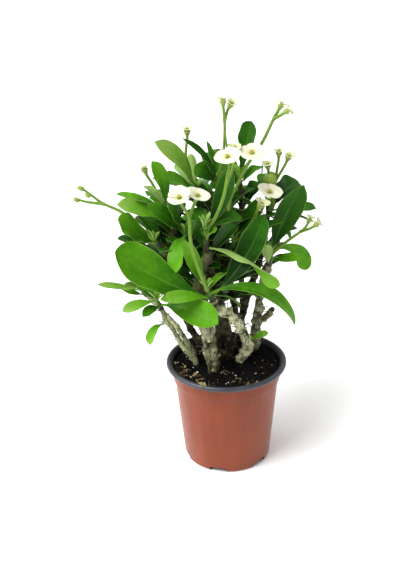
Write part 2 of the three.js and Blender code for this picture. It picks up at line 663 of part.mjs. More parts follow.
// The cream bracts that ring a flower's neck: two kidney shapes that overlap at both sides in a large
// bloom, and one collar with two lobes in a small one.
function bloomSolid(bloom) {
  const frame = bloomFrame(bloom);
  const narrowed = (angle) => 1 - BRACT_NARROWING * (1 - Math.cos(angle));
  if (bloom.reach < LARGE_BLOOM) {
    const stations = Array.from({ length: COLLAR_STEPS }, (_, i) => {
      const angle = (i / COLLAR_STEPS) * 2 * Math.PI;
      return bractStation(bloom, frame, angle, narrowed(2 * angle), 0, false);
    });
    return solidOf(blade(stations, true));
  }
  const bracts = [0, 1].map((turned) => {
    const stations = Array.from({ length: BRACT_STEPS + 1 }, (_, i) => {
      const angle = radians(mix(-BRACT_SPREAD, BRACT_SPREAD, i / BRACT_STEPS));
      const drop = SECOND_BRACT_DROP * turned;
      return bractStation(bloom, frame, angle + turned * Math.PI, narrowed(angle), drop, true);
    });
    return solidOf(blade(stations));
  });
  return fuse(bracts);
}

// A flower stalk. Under a bloom it widens into a green funnel, narrows to the neck that the bracts ring,
// and ends in the small five-sided flower that stands out of them.
function stalkSolid([radius, ...route]) {
  const bloom = typeof route.at(-1) === 'string' ? BLOOMS[route.pop()] : null;
  const points = route.map(point);
  if (bloom) {
    const { axis } = bloomFrame(bloom);
    points.push(...FUNNEL_FOOT.map((below) => point(bloom.neck).addScaledVector(axis, -below)));
  }
  const curve = new THREE.CatmullRomCurve3(points);
  const steps = Math.max(2, Math.round(curve.getLength() / STALK_STEP) + 1);
  const rings = rodRings(curve, steps, STALK_SIDES, (t) => mix(radius, FUNNEL_FOOT_RADIUS, t));
  if (bloom) {
    const { axis } = bloomFrame(bloom);
    const { normals } = curve.computeFrenetFrames(steps, false);
    const second = new THREE.Vector3().crossVectors(axis, normals[steps]).normalize();
    const first = new THREE.Vector3().crossVectors(second, axis);
    for (const [r, z] of HEAD) {
      rings.push(ringOf(point(bloom.neck).addScaledVector(axis, z), first, second, STALK_SIDES, () => r));
    }
  }
  return solidOf(skin(rings));
}

// A leafy shoot: its soft green tip, its leaves, and its flower stalks with their heads and capsules.
function shootSolid(name) {
  const { leaves, stalks } = SHOOTS[name];
  const { root, tip } = shootFrame(name);
  const core = new THREE.LineCurve3(root, tip);
  const rings = rodRings(core, 2, SHOOT_SIDES, (t) => SHOOT_RADIUS * mix(1, SHOOT_TAPER, t ** 2));
  const parts = [solidOf(skin(rings))];
  for (const [up, ...shape] of leaves) {
    const out = new THREE.Vector3(Math.cos(radians(shape[0])), Math.sin(radians(shape[0])), 0);
    const start = root.clone().lerp(tip, up * HIGHEST_LEAF).addScaledVector(out, ROOT_START);
    parts.push(leafSolid(start, shape));
  }
  parts.push(...stalks.map(stalkSolid));
  for (const { on, centre, size } of CAPSULES) {
    if (on !== name) continue;
    const capsule = new THREE.SphereGeometry(1, CAPSULE_SIDES, CAPSULE_RINGS).rotateX(Math.PI / 2);
    parts.push(solidOf(capsule.scale(...size).translate(...centre)));
  }
  return fuse(parts);
}

const MATERIALS = {
  pot: new THREE.MeshStandardMaterial({ color: 0xa85a44, roughness: 0.55, metalness: 0 }),
  soil: new THREE.MeshStandardMaterial({ color: 0x1d1712, roughness: 0.95, metalness: 0 }),
  bark: new THREE.MeshStandardMaterial({ color: 0x827d64, roughness: 0.85, metalness: 0 }),
  leaf: new THREE.MeshStandardMaterial({ color: 0x3c7820, roughness: 0.45, metalness: 0 }),
  bract: new THREE.MeshStandardMaterial({ color: 0xfafae1, roughness: 0.6, metalness: 0 }),
};

function meshOf(name, solid, material) {
  const { vertProperties, triVerts } = solid.getMesh();
  const geometry = new THREE.BufferGeometry();
  geometry.setAttribute('position', new THREE.BufferAttribute(vertProperties, 3));
  geometry.setIndex(new THREE.BufferAttribute(triVerts, 1));
  geometry.computeVertexNormals();
  const mesh = new THREE.Mesh(geometry, material);
  mesh.name = name;
  return mesh;
}

const plant = new THREE.Group();
plant.add(meshOf('pot', potSolid(), MATERIALS.pot));
plant.add(meshOf('soil', soilSolid(), MATERIALS.soil));
for (const [name, stem] of Object.entries(STEMS)) {
  plant.add(meshOf(`stem_${name}`, stemSolid(stem), MATERIALS.bark));
}
for (const name of Object.keys(SHOOTS)) {
  plant.add(meshOf(`shoot_${name}`, shootSolid(name), MATERIALS.leaf));
}
for (const [name, { root, shape }] of Object.entries(LONE_LEAVES)) {
  plant.add(meshOf(`leaf_${name}`, leafSolid(point(root), shape), MATERIALS.leaf));
}
for (const [name, bloom] of Object.entries(BLOOMS)) {
  plant.add(meshOf(`bloom_${name}`, bloomSolid(bloom), MATERIALS.bract));
}

export default plant;
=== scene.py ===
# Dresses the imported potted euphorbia: nursery pot, compost, thorny stems, leaves and cream blooms.
import math
from collections import namedtuple

import bmesh
import bpy
import numpy as np
from mathutils import Matrix, Vector


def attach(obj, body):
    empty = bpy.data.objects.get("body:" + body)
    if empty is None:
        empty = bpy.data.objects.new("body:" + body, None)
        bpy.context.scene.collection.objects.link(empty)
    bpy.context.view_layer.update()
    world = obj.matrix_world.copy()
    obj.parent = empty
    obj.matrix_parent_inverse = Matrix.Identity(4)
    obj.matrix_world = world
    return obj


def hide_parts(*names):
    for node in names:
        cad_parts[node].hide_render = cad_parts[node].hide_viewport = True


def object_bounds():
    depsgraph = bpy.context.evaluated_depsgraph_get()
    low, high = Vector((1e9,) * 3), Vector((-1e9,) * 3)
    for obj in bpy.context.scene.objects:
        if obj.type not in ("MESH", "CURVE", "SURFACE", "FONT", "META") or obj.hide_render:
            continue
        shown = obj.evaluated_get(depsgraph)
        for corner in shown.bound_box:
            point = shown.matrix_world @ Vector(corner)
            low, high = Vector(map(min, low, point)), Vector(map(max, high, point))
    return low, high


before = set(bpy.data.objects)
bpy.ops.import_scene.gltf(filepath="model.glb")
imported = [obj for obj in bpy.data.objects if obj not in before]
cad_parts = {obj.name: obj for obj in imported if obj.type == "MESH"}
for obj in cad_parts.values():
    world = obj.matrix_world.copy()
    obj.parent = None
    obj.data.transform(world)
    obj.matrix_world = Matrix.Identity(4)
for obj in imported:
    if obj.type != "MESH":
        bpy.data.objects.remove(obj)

CAD_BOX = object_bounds()
MM = 0.001

# The camera, fitted to the pot in the photograph: a lens of 900 pixels, an image 570 pixels tall.
SENSOR = 36
LENS = SENSOR * 900 / 570
CAMERA_AT = (-0.0245, -0.7917, 0.5436)
CAMERA_TILT = 24.2
CAMERA_ROLL = -1.42

# Lamps: heading and height in degrees, strength, and how wide each one looks in degrees.
SUNS = {"key": (-148, 52, 3.0, 38), "side": (175, 28, 1.35, 70), "top": (60, 78, 0.8, 90)}
WORLD_LIGHT = 0.54
FLOOR_REACH = 9

# Sizes below are in millimetres, and the origin is the centre of the pot's underside.
RIM_RADIUS = 60
RIM_ROLL = 2.6
POT_HEIGHT = 107
COLLAR_RADIUS = 54
COLLAR_BOTTOM = 88.5
BODY_TOP_RADIUS = 51.6
BASE_RADIUS = 43.8
WALL = 1.3
FLOOR_TOP = 6.6
POT_SIDES = 144
CHANNEL = {"count": 6, "first": -104.7, "inner": 22, "width": 17, "height": 4.8}
HOLE = {"at": 31, "radius": 4, "sides": 24}

GAP = 0.3
SOIL_LEVEL = 101
SOIL_RIM_RADIUS = 52.1
FOOT_TOP = 100

# What lies on the compost: how many of each, and how far out they may lie.
LITTER_RADIUS = 51
CRUMBS = 1500
PERLITE_GRAINS = 46
FINE_FIBRES = 16
COARSE_FIBRES = 7
FLAKES_A_CLUMP = 16
CLUMP_WIDTH = 11
MOSS_CLUMPS = [
    (-46, -10), (-41, -21), (-33, -31), (-27, -36), (-36, -26), (-44, -15), (-13, -44),
    (-20, -42), (22, -43), (26, -41), (-38, -12), (-30, -24), (8, -36), (-47, -4),
]
FLAKES_ON_RIM = [
    (-29, -43, 105.4), (-27, -45.5, 106), (-26, -48, 106.4), (-24.5, -50.5, 107),
    (-25.5, -52.5, 107.2), (-23, -54, 107.2), (-22, -53, 107.2), (-24, -55.5, 106.8),
]

# Bark: the mesh's step, its long swellings, and the frame's spines.
BARK_STEP = 0.85
KNOB_PITCH = 25
KNOB_DEPTH = 0.13
SPINE = {"shortest": 7, "longest": 12, "spacing": 13, "clear": 9, "lean": 0.35, "radius": 0.62}

# Warts: their leans and turns, how many carry a short spine, and its least length and range.
WART = {"lean": 0.3, "stray": 0.9, "bare": 0.45, "shortest": 2.5, "range": 5.5, "radius": 0.42}
WART_PITCH = {"stout": 2.1, "slim": 2.6}
STOUT_STEM = 5

# The bark's base is a little thinner than the frame's stem, and its warts stand out past it.
BARK_SHARE = 0.9
KNOBBLY_SHARE = 0.8
KNOBBLY = 2
SPUR_SHARE = 0.09

SHOOT_RADIUS = 2.7
ROOT_START = 0.9
TIP_LEAVES = 4
LEAF_FOLD = 16
PETIOLE_THICKNESS = 1.7
BLADE_THICKNESS = 0.8
BRACT_THICKNESS = 0.6
BRACT_INNER = 1.7
BRACT_SPREAD = 98
BRACT_NARROWING = 0.22
LARGE_BLOOM = 11.5

# How much wider the funnel under a small bloom is than under a large one.
SMALL_FUNNEL = 1.25

# Pods thinner than this are closed buds, which point along this line.
BUD_SIZE = 4
BUD_AXIS = (-0.9, -0.05, 0.42)

# A leaf's outline, and where the round end of a round leaf begins, as a share of its length.
LEAF_STATION = [0, 0.1, 0.18, 0.34, 0.52, 0.68, 0.82, 0.92, 1]
POINTED_WIDTH = [0.07, 0.075, 0.2, 0.6, 0.9, 1, 0.9, 0.6, 0.06]
ROUND_WIDTH = [0.07, 0.075, 0.17, 0.5, 0.78, 0.96, 1, 0.84, 0.16]
ROUND_FROM = 0.82

# A branch has the points that it passes, its radius at its end and its start as shares of its
# stem's, the point where it leaves its stem if that isn't the foot, and the shoot that it ends in.
Stem = namedtuple("Stem", "foot radius seed routes")
Route = namedtuple("Route", "via thin thick start to", defaults=(1, None, None))
Bloom = namedtuple("Bloom", "neck heading lean spin reach cup")

# The frame's stems.
STEMS = {
    "trunk": Stem((-13, -12), 8.2, 11, [
        Route([(-18, -12, 138), (-22, -12, 166), (-25, -12, 192), (-22, -13, 214)],
              0.62, to="middle"),
    ]),
    "front": Stem((14, 3), 4.8, 23, [
        Route([(21, 0, 119), (17, -6, 140), (6, -14, 158), (-5, -23, 172)], 0.8, to="front"),
        Route([(14, -10, 148), (9, -20, 158)], 0.4, 0.6, start=(18, -4, 134)),
    ]),
    "left_low": Stem((-31, 0), 3.4, 31, [
        Route([(-43, -4, 124), (-52, -9, 145), (-59, -13, 158)], 0.75, to="left_low"),
    ]),
    "far_left": Stem((-32, 13), 3.2, 3, [
        Route([(-40, 15, 120), (-50, 18, 136), (-66, 25, 152)], 0.7, to="far_left"),
    ]),
    "left_tall": Stem((-22, 25), 4.3, 67, [
        Route([(-36, 26, 130), (-46, 26, 170), (-50, 18, 215)], 0.65, to="left_upper"),
        Route([(-42, 16, 196)], 0.55, 0.62, start=(-46, 26, 170), to="left_mid"),
        Route([(-57, 12, 212)], 0.5, 0.6, start=(-49, 21, 200), to="mid_left"),
    ]),
    "centre": Stem((-4, 12), 6.2, 43, [
        Route([(-4, 16, 136), (-6, 22, 172), (-6, 28, 212), (-4, 35, 248)], 0.55, to="top"),
        Route([(0, 22, 190)], 0.5, 0.6, start=(-6, 22, 172), to="right_mid"),
    ]),
    "right": Stem((30, 28), 5, 47, [
        Route([(32, 31, 127), (35, 31, 155), (40, 26, 182)], 0.7, to="right"),
        Route([(42, 26, 140), (48, 22, 150)], 0.6, 0.7, start=(33, 31, 132)),
    ]),
    "back_right": Stem((14, 38), 4.8, 53, [
        Route([(20, 52, 136), (34, 62, 175), (42, 62, 210)], 0.62, to="back_right"),
        Route([(18, 56, 180), (18, 54, 225)], 0.5, 0.7, start=(20, 52, 136), to="upper_right"),
    ]),
    "back": Stem((-3, 36), 4.4, 59, [
        Route([(-10, 50, 140), (-20, 58, 185), (-24, 50, 230)], 0.65, to="upper"),
        Route([(-4, 66, 180)], 0.6, 0.75, start=(-10, 50, 140), to="back"),
    ]),
    "back_left": Stem((-16, 43), 4, 61, [
        Route([(-30, 54, 136), (-44, 62, 165)], 0.75, to="back_left"),
    ]),
}

# Old stems behind the front ones, besides the frame's, near black as painted shade.
EXTRA_STEMS = {
    "old_a": Stem((4, 8), 4.8, 71, [
        Route([(3, 4, 125), (-1, -1, 150), (-8, -5, 176), (-14, -4, 204), (-13, 2, 226)], 0.5),
    ]),
    "old_b": Stem((16, 21), 4.2, 73, [
        Route([(14, 18, 128), (9, 14, 156), (6, 12, 186), (9, 14, 214)], 0.5),
    ]),
}

# The root and tip of each shoot's soft green stem.
AXES = {
    "front": ((-13, -29, 185), (-19, -36, 201)),
    "left_low": ((-62, -14, 170), (-66, -18, 182)),
    "far_left": ((-78, 30, 164), (-84, 33, 170)),
    "mid_left": ((-61, 2, 228), (-67, 2, 235)),
    "left_upper": ((-51, 10, 253), (-55, 10, 265)),
    "left_mid": ((-35, 5, 232), (-38, 4, 241)),
    "upper": ((-23, 42, 260), (-26, 42, 272)),
    "top": ((-4, 38, 269), (-6, 38, 281)),
    "middle": ((-17, -13, 229), (-19, -15, 254)),
    "upper_right": ((17, 50, 270), (15, 50, 283)),
    "right_mid": ((4, 22, 212), (10, 22, 225)),
    "right": ((43, 22, 199), (46, 18, 213)),
    "back_right": ((45, 60, 235), (49, 60, 246)),
    "back": ((-2, 78, 214), (-2, 84, 227)),
    "back_left": ((-52, 66, 184), (-57, 69, 196)),
}

# Each shoot's leaves: how far up the shoot it starts, and then the shape that add_leaf reads.
LEAVES = {
    "front": [
        (0.1, -172, 22, 103, 43, -21, 60, -28, 1, 0.56),
        (0.2, -157, 20, 51, 13, 20, 50, 0, 0, 0.8),
        (0.3, 14, 38, 93, 25, -36, -42, -8, 0, 0.17),
        (0.6, -13, 33, 95, 24, 102, -33, 40, 1, 0.6),
        (0.9, 48, 25, 25, 15, 10, 20, 0, 1, 0.8),
        (0.8, 177, 68, 54, 15, 0, 55, 0, 0, 0.7),
        (0.35, 33, -4, 41, 10, 60, 0, 0, 0, 0.25),
    ],
    "left_low": [
        (0.9, -168, 4, 34, 11, 30, 50, 0, 0, 0.84),
        (0.2, -115, 30, 36, 10, 40, 30, 0, 0, 0.5),
        (0.5, -32, 13, 65, 27, 35, -45, 0, 0, 0.63),
        (0.6, 130, 30, 34, 14, 30, 0, 0, 0, 0.5),
    ],
    "far_left": [
        (0.9, -166, 21, 45, 7, 10, 50, 0, 0, 0.9),
        (0.9, -126, 54, 32, 9, 60, 40, 0, 0, 0.9),
        (0.2, -156, 18, 29, 7, -20, 50, 0, 0, 0.7),
        (0.7, 110, 30, 46, 18, 20, 0, 0, 1, 0.45),
        (0.4, 60, 20, 40, 16, 20, 0, 0, 0, 0.45),
    ],
    "mid_left": [
        (0.5, -144, 32, 53, 25, -15, 60, -11, 1, 0.6),
        (0.2, 144, 5, 40, 10, 20, 20, 0, 0, 0.5),
        (0.8, 102, 24, 30, 14, 20, 0, 0, 0, 0.45),
    ],
    "left_upper": [
        (0.2, -159, 22, 53, 20, 2, 44, -13, 0, 0.86),
        (0.7, 170, 30, 50, 10, 25, 20, 0, 0, 0.6),
        (1, -167, 62, 31, 17, 25, -28, 4, 0, 1.1),
        (0.7, -135, 51, 28, 8, 20, 40, 0, 0, 0.6),
        (1, -172, 98, 48, 15, 42, 53, 17, 0, 0.66),
        (0.5, 110, 20, 48, 20, 25, 0, 0, 1, 0.45),
    ],
    "left_mid": [
        (0.7, -154, 55, 52, 17, 20, 60, 0, 0, 0.42),
        (0.9, -147, 63, 37, 14, 0, 50, 0, 0, 0.4),
        (0.7, -104, 16, 49, 19, 91, 4, -34, 0, 0.66),
        (0.2, -137, -45, 34, 7, 40, 20, 0, 0, 0.5),
    ],
    "upper": [
        (1, -162, 76, 66, 17, 46, 53, 17, 0, 0.98),
        (0.5, -135, 47, 47, 22, 30, 35, 0, 1, 0.6),
        (1, 101, 55, 36, 11, 0, 160, 0, 1, 0.98),
        (0.9, 126, 33, 36, 16, 0, 150, 0, 1, 0.95),
        (0.3, 85, 15, 50, 20, 30, 0, 0, 1, 0.4),
        (0.4, 150, 25, 52, 18, 25, 10, 0, 0, 0.4),
    ],
    "top": [
        (0.9, -145, 78, 64, 6, 50, 75, 60, 0, 0.25),
        (0.9, -136, 64, 28, 11, 10, 50, 0, 0, 0.28),
        (0.7, -144, 56, 35, 18, 25, 68, 37, 1, 0.42),
        (1, -168, 88, 41, 6, 20, 68, 0, 0, 0.5),
        (0.4, 100, 40, 52, 20, 30, 0, 0, 1, 0.3),
        (0.2, 60, 20, 46, 18, 20, 0, 0, 0, 0.3),
    ],
    "middle": [
        (0.7, 27, 57, 64, 18, -16, -32, -10, 0, 0.17),
        (0.8, 11, 52, 38, 16, 70, -20, 0, 0, 0.34),
        (0.5, -74, 47, 35, 11, 30, -30, 0, 0, 0.6),
        (1, -131, 68, 11, 5, 0, 20, 0, 0, 0.85),
        (1, -68, 65, 13, 4, 0, 0, 0, 0, 0.85),
        (0.1, -33, 9, 81, 21, 52, -225, 130, 1, 0.76),
    ],
    "upper_right": [
        (0.8, -28, 77, 58, 20, 0, -78, 0, 1, 0.34),
        (0.3, -31, 43, 26, 13, 0, -30, 0, 0, 0.4),
        (0.5, 46, 20, 36, 13, 20, 0, 0, 0, 0.3),
        (0.2, 95, 15, 46, 20, 25, 0, 0, 1, 0.3),
    ],
    "right_mid": [
        (0.6, -24, 61, 60, 15, 0, -50, 0, 0, 0.22),
        (0.8, -20, 44, 58, 10, 30, -20, 0, 0, 0.3),
        (0.9, -158, 82, 38, 12, 0, 30, 0, 0, 0.4),
    ],
    "right": [
        (0.8, -7, 79, 78, 27, 22, -80, -43, 0, 0.3),
        (0.1, -99, 42, 36, 11, -20, -10, 0, 0, 0.8),
        (0.4, -38, 20, 35, 13, 10, -30, 0, 0, 0.66),
        (1, 27, 31, 57, 16, 132, -85, -29, 1, 0.7),
        (0.3, 75, 15, 44, 18, 25, 0, 0, 0, 0.4),
    ],
    "back_right": [
        (0.9, 12, 66, 38, 34, 58, -32, 29, 1, 0.12),
        (0.5, -19, 23, 47, 16, 30, -20, 0, 0, 0.35),
        (0.3, 0, 1, 47, 8, 30, 0, 0, 0, 0.25),
        (0.1, -25, -20, 34, 10, 50, 0, 0, 0, 0.4),
        (0.4, 70, 25, 55, 22, 30, 0, 0, 1, 0.35),
        (0.9, 100, 55, 40, 18, 30, 0, 0, 1, 0.35),
    ],
    "back": [
        (0.1, 20, 10, 55, 22, 25, 0, 0, 1, 0.4),
        (0.3, 165, 15, 50, 20, 25, 0, 0, 0, 0.4),
        (0.5, 90, 25, 60, 24, 35, 0, 0, 1, 0.35),
        (0.8, 45, 45, 52, 20, 30, 0, 0, 0, 0.4),
        (0.9, 130, 55, 50, 18, 25, 0, 0, 1, 0.45),
    ],
    "back_left": [
        (0.2, 175, 10, 50, 20, 20, 0, 0, 1, 0.4),
        (0.4, 95, 15, 55, 22, 30, 0, 0, 0, 0.4),
        (0.6, 140, 30, 54, 20, 30, 0, 0, 1, 0.4),
        (0.9, 72, 50, 44, 16, 20, 0, 0, 0, 0.45),
        (0.9, 160, 62, 40, 14, 10, 0, 0, 0, 0.5),
    ],
}

# Flower stalks: the radius, the points, and the bloom if the stalk has one.
STALKS = {
    "front": [
        (1.6, (-18, -35, 198), (-27, -42, 228), (-32, -44, 252), (-33, -44, 274), "left_a"),
        (1.4, (-33, -44, 272), "left_b"),
    ],
    "mid_left": [
        (1.4, (-66, 2, 234), (-96, 10, 260), (-114, 12, 269), (-125, 12, 278), (-131, 12, 283)),
        (1.2, (-112, 12, 268), (-130, 12, 271), (-136, 12, 273)),
    ],
    "left_upper": [
        (1.1, (-56, 10, 264), (-67, 14, 287), "left_small"),
    ],
    "upper": [
        (1.2, (-27, 42, 270), (-35, 40, 302), "upper_left"),
    ],
    "top": [
        (1.2, (-5, 38, 279), (1, 36, 311), (2, 31, 340), "top_left"),
        (1.1, (2, 31, 338), "top_right"),
        (0.8, (1.1, 32, 342.4), (2.3, 32, 329.2), (4, 32, 313.8), (4.9, 33, 302)),
    ],
    "middle": [
        (1.5, (-18, -15, 251), (-11, -17, 259), (-2, -20, 281), (2, -22, 301), "middle_a"),
        (1.2, (1, -21, 294), (8, -8, 308), "middle_b"),
    ],
    "upper_right": [
        (1.3, (16, 50, 280), (37.5, 44, 314), (49, 40, 340), "upper_right_a"),
        (1.2, (48, 40, 338), "upper_right_b"),
    ],
    "right_mid": [
        (1.5, (9, 22, 223), (5, 17, 262), (16, 8, 292), "centre_right"),
        (1.3, (10, 21, 224), (22, 18, 240), (28, 5, 253), "side_on"),
        (1.3, (21, 19, 238), (32, 15, 250), (37, 11, 262), "mid_right"),
    ],
    "right": [
        (1.5, (46, 18, 211), (63, 15, 227), (75, 14, 236.5), "far_right_a"),
        (1.3, (73, 14, 235), "far_right_b"),
    ],
    "back_right": [
        (1.2, (49, 60, 244), (49, 56, 260), (48, 53, 270), "pod_tip"),
        (1.3, (50, 60, 243), (52, 52, 276), "right_pair_a"),
        (1.2, (52, 52, 274), "right_pair_b"),
        (0.6, (38.7, 48, 293.6), (38.3, 48, 284.6), (38.2, 50, 274.5), (44, 58, 250)),
    ],
    "back": [
        (1.3, (-2, 84, 225), (2, 90, 262), (-1, 90, 284), "back_a"),
        (1.2, (1, 90, 272), (9, 92, 286), "back_b"),
    ],
    "back_left": [
        (1.2, (-57, 69, 194), (-62, 76, 226), (-58, 78, 246), "back_left"),
    ],
}

# Leaves that grow straight from bark: the root, and the shape that add_leaf reads.
LONE_LEAVES = {
    "hanging": ((-60.2, -14.6, 154), (-130, 25, 30, 10, 115, 10, 0, 0, 0.8)),
    "low": ((24.7, -5.2, 131), (-24, 32, 20, 9, 10, -30, 0, 0, 0.8)),
}

BLOOMS = {
    "top_left": Bloom((0.5, 32, 359.5), 100, 22, 0, 6.5, 40),
    "top_right": Bloom((8.5, 30, 356.5), -35, 32, 10, 7.5, 36),
    "upper_right_a": Bloom((55.5, 40, 352.5), 25, 30, 60, 7, 36),
    "upper_right_b": Bloom((61, 28, 349.5), 5, 58, 0, 8, 32),
    "upper_left": Bloom((-33, 37, 331), -80, 3, 0, 8, 38),
    "left_small": Bloom((-74, 16, 301), 170, 20, 0, 6.5, 40),
    "left_a": Bloom((-40.5, -52, 294), -115, 26, 100, 13, 26),
    "left_b": Bloom((-25, -38, 290.5), -35, 24, -55, 12.2, 26),
    "middle_a": Bloom((2.5, -25, 321.5), -110, 28, 20, 12.6, 20),
    "middle_b": Bloom((10, 1, 322.5), -60, 20, 0, 7, 35),
    "centre_right": Bloom((25.5, 2, 317), -80, 32, 10, 12.4, 20),
    "right_pair_a": Bloom((54.5, 49, 304.5), -90, 10, 0, 6.5, 38),
    "right_pair_b": Bloom((64, 46, 300.5), -45, 25, 0, 7.5, 34),
    "mid_right": Bloom((42, 5, 278), -50, 26, -40, 13, 24),
    "side_on": Bloom((33.5, -8, 271.5), -20, 28, -62, 9.5, 42),
    "far_right_a": Bloom((82.5, 18, 247.5), 30, 28, 30, 8, 36),
    "far_right_b": Bloom((88.5, 3, 247.5), 5, 55, 0, 8, 34),
    "pod_tip": Bloom((43.5, 47, 292.5), -120, 15, 0, 7, 35),
    "back_a": Bloom((-3, 90, 295), 110, 25, 0, 11, 15),
    "back_b": Bloom((15, 93, 296), 60, 35, 30, 10, 20),
    "back_left": Bloom((-57, 79, 255), 120, 30, 10, 11, 15),
}

# Pods and closed buds: the shoot each is on, its centre and its half sizes.
PODS = [
    ("back_right", (47, 51, 276), (7, 6.5, 8)),
    ("mid_left", (-133, 12, 284), (3.4, 2, 2)),
    ("mid_left", (-127, 12, 277), (2.6, 2, 2)),
    ("mid_left", (-138, 12, 273), (3.2, 2, 2)),
]

# How gnarled and how pale a stem's bark is, and what the other stems have.
# A paleness below 0 is painted shade: near-black bark for stems deep in the crown.
GNARL = {
    "trunk": (1.3, 0.55), "front": (2.5, 0.8), "left_low": (0.6, 1.0), "far_left": (0.6, 0.95),
    "right": (1.5, 0.36), "left_tall": (0.9, 0.1), "centre": (1.0, -0.3), "back": (0.9, -0.15),
    "back_right": (1.0, 0.0), "old_a": (1.3, -0.45), "old_b": (1.2, -0.4),
}
OTHER_GNARL = (1.0, 0.25)

# How much a stem narrows where it stands in the compost.
WAIST = {"trunk": 0.3, "front": 0.25}
OTHER_WAIST = 0.12

# How long the small spines of a stem are, and how stout the flower stalks of a shoot.
SPINY = {"right": 2.4, "old_b": 1.4}
STOUT = {"mid_left": 1.4, "upper_right": 1.3, "front": 1.2}
OTHER_STOUT = 1.15

# For a shoot: leaves on the stem below it, how far down they reach, and if they may point forward.
CLOTHING = {
    "mid_left": (5, 30, False), "left_upper": (10, 70, False), "left_mid": (8, 42, True),
    "upper": (14, 80, True), "top": (17, 115, True), "middle": (13, 62, False),
    "upper_right": (12, 90, True), "right_mid": (13, 75, True), "back_right": (10, 70, True),
    "back": (11, 60, True), "back_left": (10, 50, True),
}

UP = np.array([0.0, 0.0, 1.0])
GOLDEN_DEGREES = 137.5
GOLDEN_ANGLE = math.radians(GOLDEN_DEGREES)

# A whole turn, near enough for a heading or a phase that is drawn at random.
ANY_TURN = 6.28


def draws_from(seed):
    """A repeatable stream of numbers from 0 to 1."""
    multiplier, modulus = 16807, 2147483647
    state = seed
    while True:
        state = (state * multiplier) % modulus
        yield state / modulus


def draws_for(name, factor, offset):
    """Such a stream for a name, so that no piece changes another's."""
    return draws_from(sum(ord(letter) for letter in name) * factor + offset)


def unit(vector):
    return vector / np.linalg.norm(vector)


def turned(vector, axis, angle):
    """A vector turned about a unit axis by an angle in radians."""
    c, s = math.cos(angle), math.sin(angle)
    return vector * c + np.cross(axis, vector) * s + axis * np.dot(axis, vector) * (1 - c)


def circle(count):
    """Angles spaced evenly over a whole turn."""
    return np.arange(count) / count * 2 * math.pi


def level(angle):
    """The level direction at an angle."""
    return np.array([math.cos(angle), math.sin(angle), 0.0])


def between(first, second, angle):
    """The direction at an angle in the plane of two others."""
    return first * math.cos(angle) + second * math.sin(angle)


def noise(points, scale, seed=0):
    """Smooth noise from -1 to 1 at each point, from a hash of the corners of its cell."""
    hashes, mixers, low_bits = (73856093, 19349663, 83492791), (2654435761, 2246822519), 0xFFFFFFFF
    q = np.asarray(points, float) / scale + seed * 17.31
    cell = np.floor(q).astype(np.int64)
    f = q - cell
    f = f * f * (3 - 2 * f)
    total = np.zeros(q.shape[:-1])
    for corner in range(8):
        step = np.array([corner & 1, (corner >> 1) & 1, (corner >> 2) & 1])
        x, y, z = np.moveaxis((cell + step) * hashes, -1, 0)
        mixed = ((x ^ y ^ z) * mixers[0]) & low_bits
        mixed = ((mixed ^ (mixed >> 15)) * mixers[1]) & low_bits
        value = ((mixed ^ (mixed >> 13)) & 0xFFFF) / 32767.5 - 1
        total += np.prod(np.where(step == 1, f, 1 - f), axis=-1) * value
    return total


def smooth_read(t, stations, values):
    """A curve through the values at the stations, with no overshoot between them."""
    x, y = np.asarray(stations, float), np.asarray(values, float)
    slopes = np.diff(y) / np.diff(x)
    tangents = np.zeros_like(y)
    same = slopes[:-1] * slopes[1:] > 0
    with np.errstate(divide="ignore", invalid="ignore"):
        mean = 2 * slopes[:-1] * slopes[1:] / (slopes[:-1] + slopes[1:])
    tangents[1:-1] = np.where(same, mean, 0)
    tangents[0], tangents[-1] = slopes[0], slopes[-1]
    k = np.clip(np.searchsorted(x, t, side="right") - 1, 0, len(x) - 2)
    step = x[k + 1] - x[k]
    u = (t - x[k]) / step
    return (
        (1 + 2 * u) * (1 - u) ** 2 * y[k]
        + u * (1 - u) ** 2 * step * tangents[k]
        + u * u * (3 - 2 * u) * y[k + 1]
        + u * u * (u - 1) * step * tangents[k + 1]
    )


class Curve:
    """A smooth curve through points, read by its length."""

    def __init__(self, points, samples=24):
        points = [np.asarray(p, float) for p in points]
        ends = [2 * points[0] - points[1], *points, 2 * points[-1] - points[-2]]
        line = []
        for p0, p1, p2, p3 in zip(ends, ends[1:], ends[2:], ends[3:]):
            pairs = ((p0, p1), (p1, p2), (p2, p3))
            d0, d1, d2 = (max(1e-4, np.linalg.norm(b - a) ** 0.5) for a, b in pairs)
            m1 = ((p1 - p0) / d0 - (p2 - p0) / (d0 + d1) + (p2 - p1) / d1) * d1
            m2 = ((p2 - p1) / d1 - (p3 - p1) / (d1 + d2) + (p3 - p2) / d2) * d1
            u = np.arange(samples)[:, None] / samples
            bend, ease = -3 * p1 + 3 * p2 - 2 * m1 - m2, 2 * p1 - 2 * p2 + m1 + m2
            line.append(p1 + m1 * u + bend * u**2 + ease * u**3)
        self.line = np.vstack([*line, points[-1][None]])
        run = np.linalg.norm(np.diff(self.line, axis=0), axis=1)
        self.run = np.concatenate([[0], np.cumsum(run)])
        self.length = self.run[-1]

    def at(self, t):
        s = np.asarray(t) * self.length
        return np.stack([np.interp(s, self.run, self.line[:, k]) for k in range(3)], axis=-1)

    def along(self, t):
        step = 0.5 / self.length
        return unit(self.at(min(1, t + step)) - self.at(max(0, t - step)))


def frames(points):
    """Two directions square to a line at each of its points, which turn as little as they can."""
    tangents = np.gradient(points, axis=0)
    tangents /= np.linalg.norm(tangents, axis=1)[:, None]
    side = np.cross(tangents[0], UP)
    if np.linalg.norm(side) < 0.1:
        side = np.cross(tangents[0], [0, 1, 0])
    normals = [unit(side)]
    for tangent in tangents[1:]:
        normals.append(unit(normals[-1] - tangent * np.dot(normals[-1], tangent)))
    normals = np.array(normals)
    return normals, np.cross(tangents, normals)


def around(first, second, angle):
    """Directions at some angles round each point of a line, from its two square directions."""
    across = first[:, None] * np.cos(angle)[None, :, None]
    return across + second[:, None] * np.sin(angle)[None, :, None]


